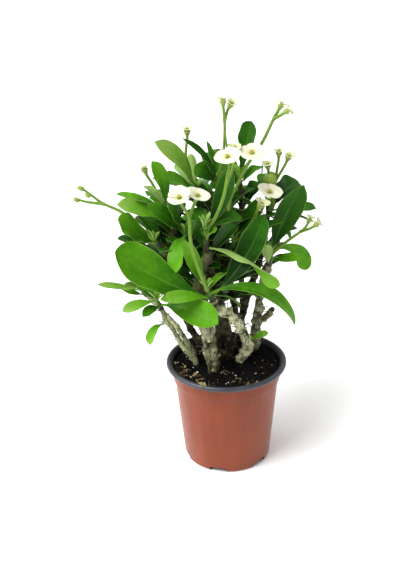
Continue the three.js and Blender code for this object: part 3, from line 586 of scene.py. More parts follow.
def round_rings(points, radii, sides):
    """Rings of a round rod along a line of points."""
    return points[:, None] + around(*frames(points), circle(sides)) * radii[:, None, None]


def level_rings(radii, heights, angle):
    """Level rings about the upright axis."""
    radii = radii[:, None]
    heights = np.repeat(heights[:, None], len(angle), 1)
    return np.stack([radii * np.cos(angle), radii * np.sin(angle), heights], -1)


def shades(rings, *channels):
    """Four values for each point of some rings. Those that aren't given are 0."""
    values = np.zeros((*rings.shape[:2], 4))
    for k, channel in enumerate(channels):
        values[..., k] = channel
    return values


def put(name, data):
    made = bpy.data.objects.new(name, data)
    bpy.context.collection.objects.link(made)
    return made


def solid_mesh(name, points, faces, kinds, materials):
    """A mesh with its faces turned outward and a material number for each of them."""
    mesh = bpy.data.meshes.new(name)
    mesh.from_pydata(points.tolist(), [], faces)
    work = bmesh.new()
    work.from_mesh(mesh)
    bmesh.ops.recalc_face_normals(work, faces=work.faces)
    work.to_mesh(mesh)
    work.free()
    for material in materials:
        mesh.materials.append(material)
    mesh.polygons.foreach_set("material_index", kinds)
    return mesh


class Gather:
    """Closed skins of one piece, with a material number per face and four values per point."""

    def __init__(self):
        self.points, self.faces, self.kinds, self.values = [], [], [], []
        self.count = 0

    def add(self, points, faces, kinds, values):
        self.points.append(points)
        self.faces.extend([tuple(v + self.count for v in face) for face in faces])
        self.kinds.extend(kinds)
        self.values.append(np.broadcast_to(np.asarray(values, float), (len(points), 4)))
        self.count += len(points)

    def skin(self, rings, kind, values):
        """Rings of points, joined and capped. The kind is one number, or one for each side."""
        n, m, _ = rings.shape
        i, j = np.meshgrid(np.arange(n - 1), np.arange(m), indexing="ij")
        here, ahead, beside = i * m, (i + 1) * m, (j + 1) % m
        quads = np.stack([here + j, here + beside, ahead + beside, ahead + j], -1)
        faces = [tuple(q) for q in quads.reshape(-1, 4).tolist()]
        side_kinds = [kind] * m if isinstance(kind, int) else kind
        kinds = side_kinds * (n - 1)
        values = np.asarray(values, float)
        values = np.broadcast_to(values, (n * m, 4)) if values.ndim == 1 else values.reshape(-1, 4)
        points = np.vstack([rings.reshape(-1, 3), rings[0].mean(0), rings[-1].mean(0)])
        values = np.vstack([values, values[:m].mean(0), values[-m:].mean(0)])
        end = (n - 1) * m
        for k in range(m):
            faces += [(n * m, (k + 1) % m, k), (n * m + 1, end + k, end + (k + 1) % m)]
            kinds += [side_kinds[k]] * 2
        self.add(points, faces, kinds, values)

    def rod(self, points, radii, sides, kind, values):
        self.skin(round_rings(points, radii, sides), kind, values)

    def piece(self, name, slot, materials, *nodes, smooth=50):
        points = np.clip(np.vstack(self.points) * MM, *CAD_BOX)
        mesh = solid_mesh(name, points, self.faces, self.kinds, materials)
        shade = mesh.attributes.new("shade", "FLOAT_COLOR", "POINT")
        shade.data.foreach_set("color", np.vstack(self.values).ravel())
        mesh.polygons.foreach_set("use_smooth", [True] * len(mesh.polygons))
        mesh.set_sharp_from_angle(angle=math.radians(smooth))
        mesh.update()
        piece = put(name, mesh)
        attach(piece, "root")
        if nodes:
            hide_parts(*nodes)
        return piece


# Materials


class Nodes:
    """A material's node tree, with the calls that the materials below share."""

    def __init__(self, name, **sockets):
        self.material = bpy.data.materials.new(name)
        self.material.use_nodes = True
        self.tree = self.material.node_tree
        self.shader = self.tree.nodes["Principled BSDF"]
        for socket, value in sockets.items():
            self.shader.inputs[socket.replace("_", " ")].default_value = value
        self.place = self.tree.nodes.new("ShaderNodeTexCoord").outputs["Object"]

    def node(self, kind, **inputs):
        made = self.tree.nodes.new(kind)
        for name, value in inputs.items():
            self.join(value, made.inputs[name.replace("_", " ")])
        return made

    def join(self, value, socket):
        if isinstance(value, bpy.types.NodeSocket):
            self.tree.links.new(value, socket)
        else:
            socket.default_value = value

    def shade(self):
        """The first three of the values that each point carries."""
        read = self.tree.nodes.new("ShaderNodeAttribute")
        read.attribute_name = "shade"
        return self.node("ShaderNodeSeparateColor", Color=read.outputs["Color"]).outputs[:3]

    def cloud(self, scale, detail=3.0, rough=0.55, place=None):
        where = self.place if place is None else place
        made = self.node("ShaderNodeTexNoise", Vector=where, Scale=scale)
        made.inputs["Detail"].default_value = detail
        made.inputs["Roughness"].default_value = rough
        return made.outputs["Fac"]

    def streaks(self, *scale):
        """A cloud drawn out by a scale along each axis."""
        drawn = self.node("ShaderNodeMapping", Vector=self.place, Scale=scale)
        return self.cloud(1.0, 4.0, 0.5, drawn.outputs["Vector"])

    def math(self, operation, a, b=0.0):
        made = self.tree.nodes.new("ShaderNodeMath")
        made.operation = operation
        self.join(a, made.inputs[0])
        self.join(b, made.inputs[1])
        return made.outputs[0]

    def ranged(self, value, low, high, to_low=0.0, to_high=1.0):
        made = self.node("ShaderNodeMapRange", Value=value, From_Min=low, From_Max=high)
        made.inputs["To Min"].default_value = to_low
        made.inputs["To Max"].default_value = to_high
        return made.outputs["Result"]

    def both(self, a, b):
        return self.math("MULTIPLY", a, b)

    def stirred(self, value, amount, scale, detail=3.0):
        """A value that a cloud raises and lowers by up to an amount."""
        stir = self.ranged(self.cloud(scale, detail), 0.3, 0.7, -amount, amount)
        return self.math("ADD", value, stir)

    def mix(self, share, a, b):
        made = self.tree.nodes.new("ShaderNodeMix")
        made.data_type = "RGBA"
        for value, socket in ((share, 0), (a, 6), (b, 7)):
            value = value if not isinstance(value, tuple) else (*value, 1.0)
            self.join(value, made.inputs[socket])
        return made.outputs[2]

    def patches(self, a, b, scale, detail=3.0, rough=0.55, low=0.35, high=0.65):
        """Two colours that a cloud blends."""
        return self.mix(self.ranged(self.cloud(scale, detail, rough), low, high), a, b)

    def off_middle(self, across):
        """How far from its midrib a point of a leaf lies, from 0 to 0.5."""
        return self.math("ABSOLUTE", self.math("SUBTRACT", across, 0.5))

    def bump(self, height, strength, distance):
        made = self.node("ShaderNodeBump", Height=height, Strength=strength, Distance=distance)
        self.tree.links.new(made.outputs["Normal"], self.shader.inputs["Normal"])

    def colour(self, value):
        self.tree.links.new(value, self.shader.inputs["Base Color"])
        return self.material

    def roughness(self, scale, smooth, rough):
        value = self.ranged(self.cloud(scale, 4.0), 0.3, 0.7, smooth, rough)
        self.tree.links.new(value, self.shader.inputs["Roughness"])


def srgb(r, g, b):
    """A colour given as it is seen on screen, from 0 to 255, in linear light."""
    shares = (r / 255, g / 255, b / 255)
    return tuple(((s + 0.055) / 1.055) ** 2.4 if s > 0.04 else s / 12.92 for s in shares)


def leaf_top_material():
    """Fleshy green with painted light and shade, lighter on young leaves, with a pale midrib and
    margin.
    """
    n = Nodes("leaf_top", Roughness=0.4, Specular_IOR_Level=0.09)
    across, along, tone = n.shade()
    tone = n.stirred(tone, 0.08, 38)
    tone = n.stirred(tone, 0.05, 190, 2.0)
    # Painted shade towards a leaf's base, in the crown, and painted light towards its tip.
    tone = n.math("ADD", tone, n.ranged(along, 0.15, 0.85, -0.25, 0.08))
    # Each leaf's tone: its own green, lighter when young, plus painted light on lit leaves and
    # painted shade on shaded ones.
    green = n.mix(n.ranged(tone, 0.0, 0.4), srgb(10, 42, 3), srgb(42, 96, 8))
    green = n.mix(n.ranged(tone, 0.4, 0.75), green, srgb(88, 150, 22))
    green = n.mix(n.ranged(tone, 0.75, 1.05), green, srgb(136, 170, 78))
    middle = n.off_middle(across)
    rib = n.both(n.ranged(middle, 0.0, 0.035, 1.0, 0.0), n.ranged(along, 0.0, 0.9, 0.75, 0.1))
    green = n.mix(rib, green, srgb(110, 154, 48))
    # The pale margin is partly the leaf's own and partly a painted highlight along its edge.
    edge = n.ranged(middle, 0.465, 0.5, 0.0, 0.6)
    green = n.mix(edge, green, srgb(126, 162, 70))
    stem = n.ranged(along, 0.02, 0.2, 0.8, 0.0)
    green = n.mix(stem, green, srgb(104, 152, 30))
    slant = n.math("SUBTRACT", n.both(along, 70.0), n.both(middle, 60.0))
    veins = n.ranged(n.math("ABSOLUTE", n.math("SINE", slant)), 0.0, 0.3)
    n.bump(n.math("ADD", n.cloud(420, 4.0), n.both(veins, 0.35)), 0.14, 0.0006)
    return n.colour(green)


def leaf_under_material():
    """The pale matt underside of a leaf, with its midrib lighter still."""
    n = Nodes("leaf_under", Roughness=0.6, Specular_IOR_Level=0.12)
    across, along, tone = n.shade()
    tone = n.stirred(tone, 0.12, 45)
    green = n.mix(n.ranged(tone, 0.1, 0.95), srgb(44, 86, 22), srgb(148, 178, 98))
    middle = n.off_middle(across)
    rib = n.both(n.ranged(middle, 0.0, 0.045, 1.0, 0.0), n.ranged(along, 0.0, 1.0, 0.8, 0.2))
    green = n.mix(rib, green, srgb(142, 172, 92))
    n.bump(n.cloud(380, 4.0), 0.12, 0.0006)
    return n.colour(green)


def stalk_material():
    """Flower stalks and soft shoot tips: yellow-green, paler by the bloom, brown and painted shade
    by the bark.
    """
    n = Nodes("stalk", Roughness=0.42, Specular_IOR_Level=0.3)
    _, along, tone = n.shade()
    tone = n.stirred(tone, 0.15, 120)
    green = n.mix(n.ranged(tone, 0.0, 1.0), srgb(62, 104, 18), srgb(124, 158, 50))
    # Dark brown where the shoot grows from the bark: partly the bark's colour, partly painted shade.
    green = n.mix(n.ranged(tone, -0.6, 0.0, 1.0, 0.0), green, srgb(40, 35, 20))
    green = n.mix(n.ranged(along, 0.74, 0.9), green, srgb(150, 166, 84))
    n.bump(n.cloud(500), 0.12, 0.0005)
    return n.colour(green)


def bract_material():
    """Waxy cream, yellow-green where it rings the neck, and greener on small blooms."""
    n = Nodes("bract", Roughness=0.5, Subsurface_Weight=0.15, Subsurface_Scale=0.001,
              Subsurface_Radius=(1, 1, 0.7))
    _, along, small = n.shade()
    cream = n.patches(srgb(212, 212, 182), srgb(224, 224, 200), 200)
    young = n.patches(srgb(204, 208, 160), srgb(220, 222, 186), 160)
    cream = n.mix(small, cream, young)
    cream = n.mix(n.ranged(along, 0.0, 0.4, 0.9, 0.0), cream, srgb(182, 186, 104))
    n.bump(n.cloud(320), 0.1, 0.0004)
    return n.colour(cream)


def eye_material():
    """The olive glands and paler stamens at the middle of a bloom."""
    n = Nodes("eye", Roughness=0.4, Coat_Weight=0.2)
    _, _, tone = n.shade()
    olive = n.patches(srgb(150, 148, 44), srgb(186, 178, 66), 700)
    return n.colour(n.mix(tone, olive, srgb(196, 180, 96)))


def bark_material():
    """Grey-green bark: painted shade in its furrows, pale warts partly painted highlight, greener
    near the shoots.
    """
    n = Nodes("bark", Roughness=0.8, Specular_IOR_Level=0.16)
    height, along, pale = n.shade()
    base = n.patches(srgb(32, 27, 15), srgb(80, 75, 47), 95, 5.0, 0.65)
    base = n.mix(n.ranged(pale, 0.2, 1.0, 0.0, 0.9), base, srgb(210, 214, 164))
    # Painted shade: a paleness below 0 turns the bark near black, for stems deep in the crown.
    base = n.mix(n.ranged(pale, -0.6, 0.0, 0.85, 0.0), base, srgb(12, 9, 6))
    # Pale crests on the warts: partly their own colour, partly a painted highlight.
    crest = n.both(n.ranged(height, 0.5, 0.85), n.ranged(n.cloud(210), 0.25, 0.6))
    crest = n.both(crest, n.ranged(pale, 0.0, 0.6, 0.15, 1.0))
    base = n.mix(crest, base, srgb(218, 220, 178))
    # Painted shade in the furrows, where the bark stands low.
    base = n.mix(n.ranged(height, 0.16, 0.5, 0.95, 0.0), base, srgb(20, 16, 8))
    cracks = n.ranged(n.streaks(330.0, 330.0, 70.0), 0.54, 0.66, 0.0, 0.75)
    base = n.mix(cracks, base, srgb(30, 26, 14))
    spots = n.ranged(n.cloud(480, 2.0), 0.62, 0.7, 0.0, 0.6)
    base = n.mix(spots, base, srgb(44, 38, 24))
    # Painted shade up the stems of middling paleness, such as the trunk.
    shaded_stem_share = n.both(n.ranged(pale, 0.4, 0.5), n.ranged(pale, 0.6, 0.75, 1.0, 0.0))
    in_shade = n.both(n.ranged(along, 0.25, 0.5, 0.0, 0.8), shaded_stem_share)
    base = n.mix(in_shade, base, srgb(26, 23, 14))
    base = n.mix(n.ranged(along, 0.72, 1.0, 0.0, 0.45), base, srgb(48, 54, 26))
    moss = n.both(n.ranged(n.cloud(60, 4.0), 0.52, 0.68), 0.45)
    base = n.mix(moss, base, srgb(104, 112, 50))
    n.bump(n.math("ADD", n.cloud(420, 6.0, 0.7), n.cloud(1500)), 0.8, 0.001)
    return n.colour(base)


def spine_material():
    """Woody spines, brown at the root and paler towards their dark tip."""
    n = Nodes("spine", Roughness=0.55)
    _, along, _ = n.shade()
    brown = n.mix(n.ranged(along, 0.0, 0.35), srgb(70, 60, 42), srgb(98, 90, 74))
    return n.colour(n.mix(n.ranged(along, 0.7, 1.0), brown, srgb(34, 27, 22)))


def pot_outer_material():
    """Terracotta-brown moulded plastic: faint drawn streaks, dust, painted shade in a line at its
    step.
    """
    n = Nodes("pot_outer", Roughness=0.42, Specular_IOR_Level=0.28, Sheen_Weight=0.2,
              Sheen_Roughness=0.35)
    streaks = n.ranged(n.streaks(90.0, 90.0, 9.0), 0.3, 0.7)
    base = n.mix(streaks, srgb(117, 51, 26), srgb(133, 60, 32))
    base = n.mix(n.ranged(n.cloud(14, 2.0), 0.4, 0.7, 0.0, 0.5), base, srgb(141, 69, 38))
    height = n.node("ShaderNodeSeparateXYZ", Vector=n.place).outputs["Z"]
    # Painted shade: a dark line under the collar's step.
    off_step = n.math("ABSOLUTE", n.math("SUBTRACT", height, (COLLAR_BOTTOM - 0.7) * MM))
    base = n.mix(n.ranged(off_step, 0.5 * MM, 1.2 * MM, 0.7, 0.0), base, srgb(84, 34, 18))
    dust = n.both(n.ranged(n.cloud(900, 2.0), 0.7, 0.76), n.ranged(n.cloud(60), 0.5, 0.62))
    base = n.mix(dust, base, srgb(170, 130, 112))
    n.roughness(160, 0.36, 0.5)
    n.bump(n.cloud(600, 2.0), 0.06, 0.0004)
    return n.colour(base)


def pot_inner_material():
    """The sheet's dark inner layer, which the rolled rim turns outward, with painted shade inside
    the pot.
    """
    n = Nodes("pot_inner", Roughness=0.38, Specular_IOR_Level=0.5)
    base = n.patches(srgb(40, 41, 49), srgb(56, 57, 68), 70, 4.0, low=0.3, high=0.7)
    n.roughness(220, 0.3, 0.48)
    n.bump(n.cloud(500), 0.08, 0.0004)
    flat = n.node("ShaderNodeVectorMath", Vector=n.place)
    flat.operation = "MULTIPLY"
    flat.inputs[1].default_value = (1, 1, 0)
    reach = n.node("ShaderNodeVectorMath", Vector=flat.outputs["Vector"])
    reach.operation = "LENGTH"
    edges = ((COLLAR_RADIUS + 1.8) * MM, (COLLAR_RADIUS + 3) * MM)
    # Painted shade: near black on the wall inside the pot.
    inside = n.ranged(reach.outputs["Value"], *edges, 0.88, 0.0)
    return n.colour(n.mix(inside, base, srgb(8, 8, 10)))


def soil_material():
    n = Nodes("compost", Roughness=0.9, Specular_IOR_Level=0.12)
    _, _, tone = n.shade()
    base = n.patches(srgb(4, 3, 4), srgb(20, 16, 14), 330, 5.0, 0.7, low=0.4)
    base = n.mix(n.ranged(tone, 0.45, 1.0, 0.0, 0.8), base, srgb(70, 58, 42))
    n.bump(n.cloud(900, 5.0, 0.7), 0.6, 0.0008)
    return n.colour(base)


def perlite_material():
    n = Nodes("perlite", Roughness=0.85)
    n.bump(n.cloud(1600), 0.4, 0.0003)
    return n.colour(n.patches(srgb(196, 192, 178), srgb(240, 238, 228), 800))


def dry_material(name, roughness, scale, dark, light, dead):
    """Moss or fibre, of which some pieces are paler."""
    n = Nodes(name, Roughness=roughness)
    _, _, tone = n.shade()
    return n.colour(n.mix(tone, n.patches(dark, light, scale), dead))


# Pot and compost


def arc(centre, radius, start, end, steps):
    angles = np.radians(np.linspace(start, end, steps + 1))
    return [(centre[0] + radius * math.cos(a), centre[1] + radius * math.sin(a)) for a in angles]


def pot_profile():
    """The wall's section from near the middle of the underside, up the outside and down the inside.

    Also gives where the dark inner layer begins, at the underside of the rolled rim."""
    collar, step, body, rim = COLLAR_RADIUS, COLLAR_BOTTOM, BODY_TOP_RADIUS, RIM_ROLL
    outside = [(14, 0), (28, 0), *arc((BASE_RADIUS - 3, 3), 3, -90, 0, 6), (body - 2.4, 60)]
    outside += [(body, step - 2.5), (body + 0.15, step - 1.3), (body + 0.6, step - 0.7)]
    outside += [(collar - 1, step - 0.4), (collar - 0.6, step + 0.1), (collar - 0.45, step + 0.9)]
    outside += [(collar - 0.2, 96), (collar, POT_HEIGHT - 6.2), (collar + 0.6, POT_HEIGHT - 5)]
    dark_from = len(outside)
    outside += arc((RIM_RADIUS - rim, POT_HEIGHT - rim), rim, -75, 105, 14)
    inside = [(collar + 1.2, POT_HEIGHT - 0.9), (collar - 0.1, POT_HEIGHT - 2)]
    inside += [(collar - WALL, POT_HEIGHT - 4.6), (collar - 0.6 - WALL, step + 0.4)]
    inside += [(body - WALL, step - 2.1), (BASE_RADIUS - WALL, FLOOR_TOP + 2)]
    inside += [(BASE_RADIUS - WALL - 2, FLOOR_TOP)]
    return np.array(outside + inside), dark_from


def cutter(name, ends, materials):
    """A tool between two like outlines, which leaves the dark inner layer where it cuts the pot."""
    m = len(ends[0])
    faces = [(j, (j + 1) % m, m + (j + 1) % m, m + j) for j in range(m)]
    faces += [tuple(range(m))[::-1], tuple(range(m, 2 * m))]
    return put(name, solid_mesh(name, np.vstack(ends) * MM, faces, [1] * len(faces), materials))


def channel_cutters(materials):
    """The drainage channels with rounded shoulders, and the hole in each."""
    half, top = CHANNEL["width"] / 2, CHANNEL["height"]
    shoulder = [(half, -3), (half, top - 1.2), (half - 0.4, top - 0.4), (half - 1.4, top)]
    section = [(-s, z) for s, z in shoulder] + shoulder[::-1]
    for k in range(CHANNEL["count"]):
        turn = math.radians(CHANNEL["first"] + k * 360 / CHANNEL["count"])
        out, side = level(turn), np.array([-math.sin(turn), math.cos(turn), 0])
        reaches = (CHANNEL["inner"], RIM_RADIUS + 4)
        ends = [[out * r + side * s + UP * z for s, z in section] for r in reaches]
        yield cutter("channel", ends, materials)
        directions = [between(out, side, angle) for angle in circle(HOLE["sides"])]
        ring = [out * HOLE["at"] + direction * HOLE["radius"] for direction in directions]
        yield cutter("hole", [[p + UP * z for p in ring] for z in (-2, FLOOR_TOP + 2)], materials)


def make_pot(outer, inner):
    profile, dark_from = pot_profile()
    made = Gather()
    made.skin(level_rings(*profile.T, circle(POT_SIDES)), 0, (0, 0, 0, 1))
    spans = len(profile) - 1
    made.kinds = [int(q // POT_SIDES >= dark_from) for q in range(spans * POT_SIDES)]
    made.kinds += [0, 1] * POT_SIDES
    pot = made.piece("pot_body", "pot_plastic", [outer, inner], "pot", smooth=32)
    for tool in list(channel_cutters([outer, inner])):
        cut = pot.modifiers.new("cut", "BOOLEAN")
        cut.operation, cut.object, cut.solver = "DIFFERENCE", tool, "EXACT"
        bpy.context.view_layer.objects.active = pot
        bpy.ops.object.modifier_apply(modifier=cut.name)
        bpy.data.objects.remove(tool)
    pot.data.set_sharp_from_angle(angle=math.radians(32))


def soil_height(x, y):
    rolling = 0.8 * np.sin(x / 9) * np.cos(y / 7) + 0.5 * np.sin((x + y) / 4.5)
    spots = np.stack([x, y, np.zeros_like(x)], -1)
    crumbs = 0.9 * noise(spots, 4.1, 3) + 0.55 * noise(spots, 1.7, 5)
    return SOIL_LEVEL + rolling + crumbs


def ground_at(x, y):
    return float(soil_height(np.array([x]), np.array([y]))[0])


def make_soil(material):
    """Compost: an uneven top, and under it a plain block that fits the pot with a small gap."""
    angle = circle(180)
    radii = np.linspace(0.6, SOIL_RIM_RADIUS, 64)
    lower = np.array([
        (COLLAR_RADIUS - 0.8 - WALL - GAP, COLLAR_BOTTOM + 1),
        (BODY_TOP_RADIUS - WALL - 2 * GAP, COLLAR_BOTTOM - 2.1),
        (BASE_RADIUS - WALL - 2 * GAP, FLOOR_TOP + 2.2),
        (BASE_RADIUS - WALL - 2.8, FLOOR_TOP + GAP),
    ])
    top = level_rings(radii, 0 * radii, angle)
    top[..., 2] = soil_height(top[..., 0], top[..., 1])
    rings = np.vstack([top, level_rings(*lower.T, angle)])
    made = Gather()
    made.skin(rings, 0, shades(rings, 0, 0, np.clip(noise(rings, 7, 9) - 0.25, 0, 1) * 0.5))
    made.piece("compost_body", "compost", [material], "soil", smooth=80)


def coarse_ball():
    work = bmesh.new()
    bmesh.ops.create_icosphere(work, subdivisions=1, radius=1)
    points = np.array([v.co for v in work.verts])
    faces = [tuple(v.index for v in f.verts) for f in work.faces]
    work.free()
    return points, faces


BALL = coarse_ball()


def lump(made, centre, size, draw, values, rough=0.3, flat=1.0):
    """A small irregular grain or flake: a coarse ball, squashed and dented."""
    points, faces = BALL
    wide, deep = 0.7 + 0.6 * next(draw), 0.7 + 0.6 * next(draw)
    stretch = np.array([wide, deep, (0.5 + 0.5 * next(draw)) * flat])
    angle = next(draw) * ANY_TURN
    axis = Vector((next(draw) - 0.5, next(draw) - 0.5, 1)).normalized()
    dents = 1 + rough * noise(points * 3 + next(draw) * 50, 1.3)
    spin = np.array(Matrix.Rotation(angle, 3, axis))
    shaped = (points * dents[:, None] * stretch * size) @ spin.T
    made.add(shaped + centre, faces, [0] * len(faces), values)


def scatter(draw, count, inner=0, outer=LITTER_RADIUS):
    """Places on the compost, evenly spread and clear of the stems."""
    made = 0
    while made < count:
        radius = math.sqrt(inner**2 + (outer**2 - inner**2) * next(draw))
        angle = next(draw) * 2 * math.pi
        x, y = radius * math.cos(angle), radius * math.sin(angle)
        if all(math.hypot(x - s.foot[0], y - s.foot[1]) > s.radius + 0.5 for s in STEMS.values()):
            made += 1
            yield np.array([x, y, ground_at(x, y)])


def strand(made, start, turn, length, lift, radius, draw, values):
    """A thin curling fibre that lies on the compost."""
    steps, points = 7, [start]
    curl = (next(draw) - 0.5) * 0.9
    for _ in range(steps):
        turn += curl + (next(draw) - 0.5) * 0.7
        points.append(points[-1] + level(turn) * (length / steps))
    for k, p in enumerate(points):
        room, reach = SOIL_RIM_RADIUS + 0.3, math.hypot(p[0], p[1])
        if reach > room:
            p[:2] *= room / reach
        p[2] = ground_at(p[0], p[1]) + radius + lift * math.sin(math.pi * k / steps)
    t = np.linspace(0, 1, 12)
    radii = radius * (0.35 + 0.65 * np.sin(math.pi * np.clip(t * 0.9 + 0.08, 0, 1)))
    made.rod(Curve(points).at(t), radii, 5, 0, values)


def make_litter(soil, perlite, moss, fibre):
    """Crumbs, perlite, fibres and moss on the compost."""
    draw = draws_from(977)
    made = Gather()
    for spot in scatter(draw, CRUMBS):
        size = 0.5 + 1.1 * next(draw) ** 2
        lump(made, spot + UP * size * 0.35, size, draw, (0, 0, next(draw) ** 2 * 0.6, 1), 0.45)
    made.piece("crumbs", "compost", [soil], smooth=20)

    made = Gather()
    for spot in scatter(draw, PERLITE_GRAINS):
        size = 0.4 + 0.65 * next(draw) ** 2
        lump(made, spot + UP * size * 0.7, size, draw, (0, 0, 0, 1))
    made.piece("perlite", "compost", [perlite], smooth=30)

    made = Gather()
    for spot in scatter(draw, FINE_FIBRES, 14, 50):
        turn, length = next(draw) * ANY_TURN, 3 + 6 * next(draw)
        strand(made, spot, turn, length, 0.8, 0.25, draw, (0, 0, next(draw), 1))
    for _ in range(COARSE_FIBRES):
        angle = math.radians(225 + 70 * next(draw))
        radius = 10 + 26 * next(draw)
        spot = np.array([radius * math.cos(angle) - 4, radius * math.sin(angle), SOIL_LEVEL])
        turn, length = next(draw) * ANY_TURN, 5 + 7 * next(draw)
        strand(made, spot, turn, length, 1.6, 0.4, draw, (0, 0, 0.6 * next(draw), 1))
    made.piece("fibres", "compost", [fibre], smooth=60)

    made = Gather()
    for cx, cy in MOSS_CLUMPS:
        for _ in range(FLAKES_A_CLUMP):
            x = cx + (next(draw) - 0.5) * CLUMP_WIDTH
            y = cy + (next(draw) - 0.5) * CLUMP_WIDTH
            size = 0.4 + 1.5 * next(draw) ** 3
            reach = math.hypot(x, y)
            if reach > LITTER_RADIUS:
                x, y = x * LITTER_RADIUS / reach, y * LITTER_RADIUS / reach
            spot = np.array([x, y, ground_at(x, y) + size * 0.3])
            lump(made, spot, size, draw, (0, 0, next(draw) ** 2, 1), 0.9, 0.3)
    for spot in FLAKES_ON_RIM:
        size = 1 + 0.9 * next(draw)
        lump(made, np.array(spot), size, draw, (0, 0, 0.7 * next(draw), 1), 0.9, 0.3)
    made.piece("moss", "compost", [moss], smooth=60)


# Stems


def shoot_frame(name):
    root, tip = (np.array(p, float) for p in AXES[name])
    return root, tip, unit(tip - root)


def thorn(made, root, out, bend, length, radius):
    """A spine with a swollen root and a slight bend, ending in a point."""
    stations = np.array([0, 0.06, 0.16, 0.4, 0.7, 0.9, 1])
    widths = np.array([1.9, 1.35, 0.95, 0.7, 0.42, 0.2, 0.05]) * radius
    points = root + out * (stations * length)[:, None]
    points = points + bend * (stations**2 * length * 0.12)[:, None]
    rings = round_rings(points, widths, 6)
    made.skin(rings, 1, shades(rings, 0, stations[:, None]))


def route_curve(foot, route):
    start = [route.start] if route.start else [(*foot, FOOT_TOP), (*foot, FOOT_TOP + 4)]
    points = [np.array(p, float) for p in [*start, *route.via]]
    if route.to:
        root, _, along = shoot_frame(route.to)
        points += [root - along * 6, root - along * GAP]
    return Curve(points)


def radius_at(stem, route, t):
    return stem.radius * (route.thick + (route.thin - route.thick) * t)


def wart_places(curve, widest, draw, extra, spiny):
    """Where warts stand on a branch: how far along, which way, and their spine's length and radius.

    Those of the frame's spines come first, then a spiral of more, some with a short spine."""
    places, length = [], curve.length

    def outward(s, angle, lean):
        along = curve.along(s / length)
        return unit(turned(unit(np.cross(along, UP)), along, angle) + along * lean)

    s = SPINE["clear"]
    while s < length - SPINE["clear"]:
        out = outward(s, next(draw) * 2 * math.pi, SPINE["lean"])
        reach = SPINE["shortest"] + (SPINE["longest"] - SPINE["shortest"]) * next(draw)
        places.append((s, out, reach, SPINE["radius"]))
        s += SPINE["spacing"]
    count = round(length / WART_PITCH["stout" if widest > STOUT_STEM else "slim"])
    for k in range(count):
        s = (k + 0.6) / count * length
        out = outward(s, k * GOLDEN_ANGLE + next(extra) * WART["stray"], WART["lean"])
        bare = next(extra) < WART["bare"]
        reach = 0 if bare else (WART["shortest"] + WART["range"] * next(extra)) * spiny
        places.append((s, out, reach, WART["radius"]))
    return places


def bark_wrinkles(rough, angle, lengthwise, gnarl, widest):
    """Wrinkles, dents and long furrows in bark, in millimetres."""
    wrinkle = (0.34 * noise(rough, 3.0, 1) + 0.2 * noise(rough, 1.4, 2)) * gnarl
    wrinkle += 1.15 * (gnarl - 0.6) * noise(rough, 7.5, 4) * min(1.0, widest / STOUT_STEM)
    around_bark = np.broadcast_arrays(np.cos(angle) * 3, np.sin(angle) * 3, lengthwise[:, None])
    furrows = np.clip(noise(np.stack(around_bark, -1), 0.8, 6) - 0.1, 0, 1)
    return wrinkle - 0.55 * furrows * min(1.0, widest / 4)


def make_stem(name, stem, bark, spine, *nodes):
    """A woody stem with its branches: a spiral of warts, wrinkles, and a spine on some warts."""
    draw, extra = draws_from(stem.seed), draws_from(stem.seed * 31 + 7)
    gnarl, pale = GNARL.get(name, OTHER_GNARL)
    share = BARK_SHARE if gnarl < KNOBBLY else KNOBBLY_SHARE
    made = Gather()
    for route in stem.routes:
        curve = route_curve(stem.foot, route)
        length, widest = curve.length, stem.radius * route.thick
        t = np.linspace(0, 1, max(12, round(length / BARK_STEP)))
        angle = circle(max(18, round(2 * math.pi * widest / BARK_STEP)))
        points = curve.at(t)
        first, second = frames(points)
        ring = around(first, second, angle)
        above = (points[:, 2] - FOOT_TOP) / 11
        waist = 1 - WAIST.get(name, OTHER_WAIST) * np.exp(-(above**2))
        base = (radius_at(stem, route, t) * waist)[:, None] * share
        rough = points[:, None] + ring * base[..., None]
        fade = np.minimum(1, np.minimum((1 - t) * 15, t * 10))[:, None]
        rise = base * KNOB_DEPTH * 1.5 * noise(rough, KNOB_PITCH / 2, stem.seed) * fade

        places = wart_places(curve, widest, draw, extra, SPINY.get(name, 1))
        for s, out, _, _ in places:
            k = int(np.argmin(np.abs(t * length - s)))
            phi = math.atan2(np.dot(out, second[k]), np.dot(out, first[k]))
            gap = np.abs((angle - phi + math.pi) % (2 * math.pi) - math.pi)[None]
            away = ((t[:, None] * length - s) / 1.25) ** 2 + (gap * base) ** 2
            spread = 1.15 + 0.5 * next(extra)
            tall = (0.55 + 0.75 * next(extra)) * gnarl * min(1.0, widest / STOUT_STEM)
            if next(extra) < SPUR_SHARE * gnarl:
                tall, spread = tall * 1.9, spread * 0.8
            rise = rise + tall * np.exp(-away / (2 * spread**2)) * np.minimum(1, fade + 0.35)
        relief = rise + bark_wrinkles(rough, angle, t * length / 9, gnarl, widest)
        rings = rough + ring * relief[..., None]
        if not route.start:
            buried = rings[:1] - UP * 9
            rings, relief = np.vstack([buried, rings]), np.vstack([relief[:1], relief])
        lengthwise = np.linspace(0, 1, len(rings))[:, None] if route.to else 0.3
        # How high the bark stands: the bark paints shade in its furrows and a partly painted
        # highlight on its crests.
        height = np.clip(0.42 + relief * 0.36, 0, 1)
        made.skin(rings, 0, shades(rings, height, lengthwise, pale))
        for s, out, reach, radius in places:
            if reach > 0:
                k = s / length
                bend = unit(curve.along(k) + UP * 0.2)
                root = curve.at(k) + out * (radius_at(stem, route, k) - 0.4)
                thorn(made, root, out, bend, reach + 0.4, radius)
    made.piece(f"stem_{name}_bark", "bark", [bark, spine], *nodes, smooth=80)


# Leaves


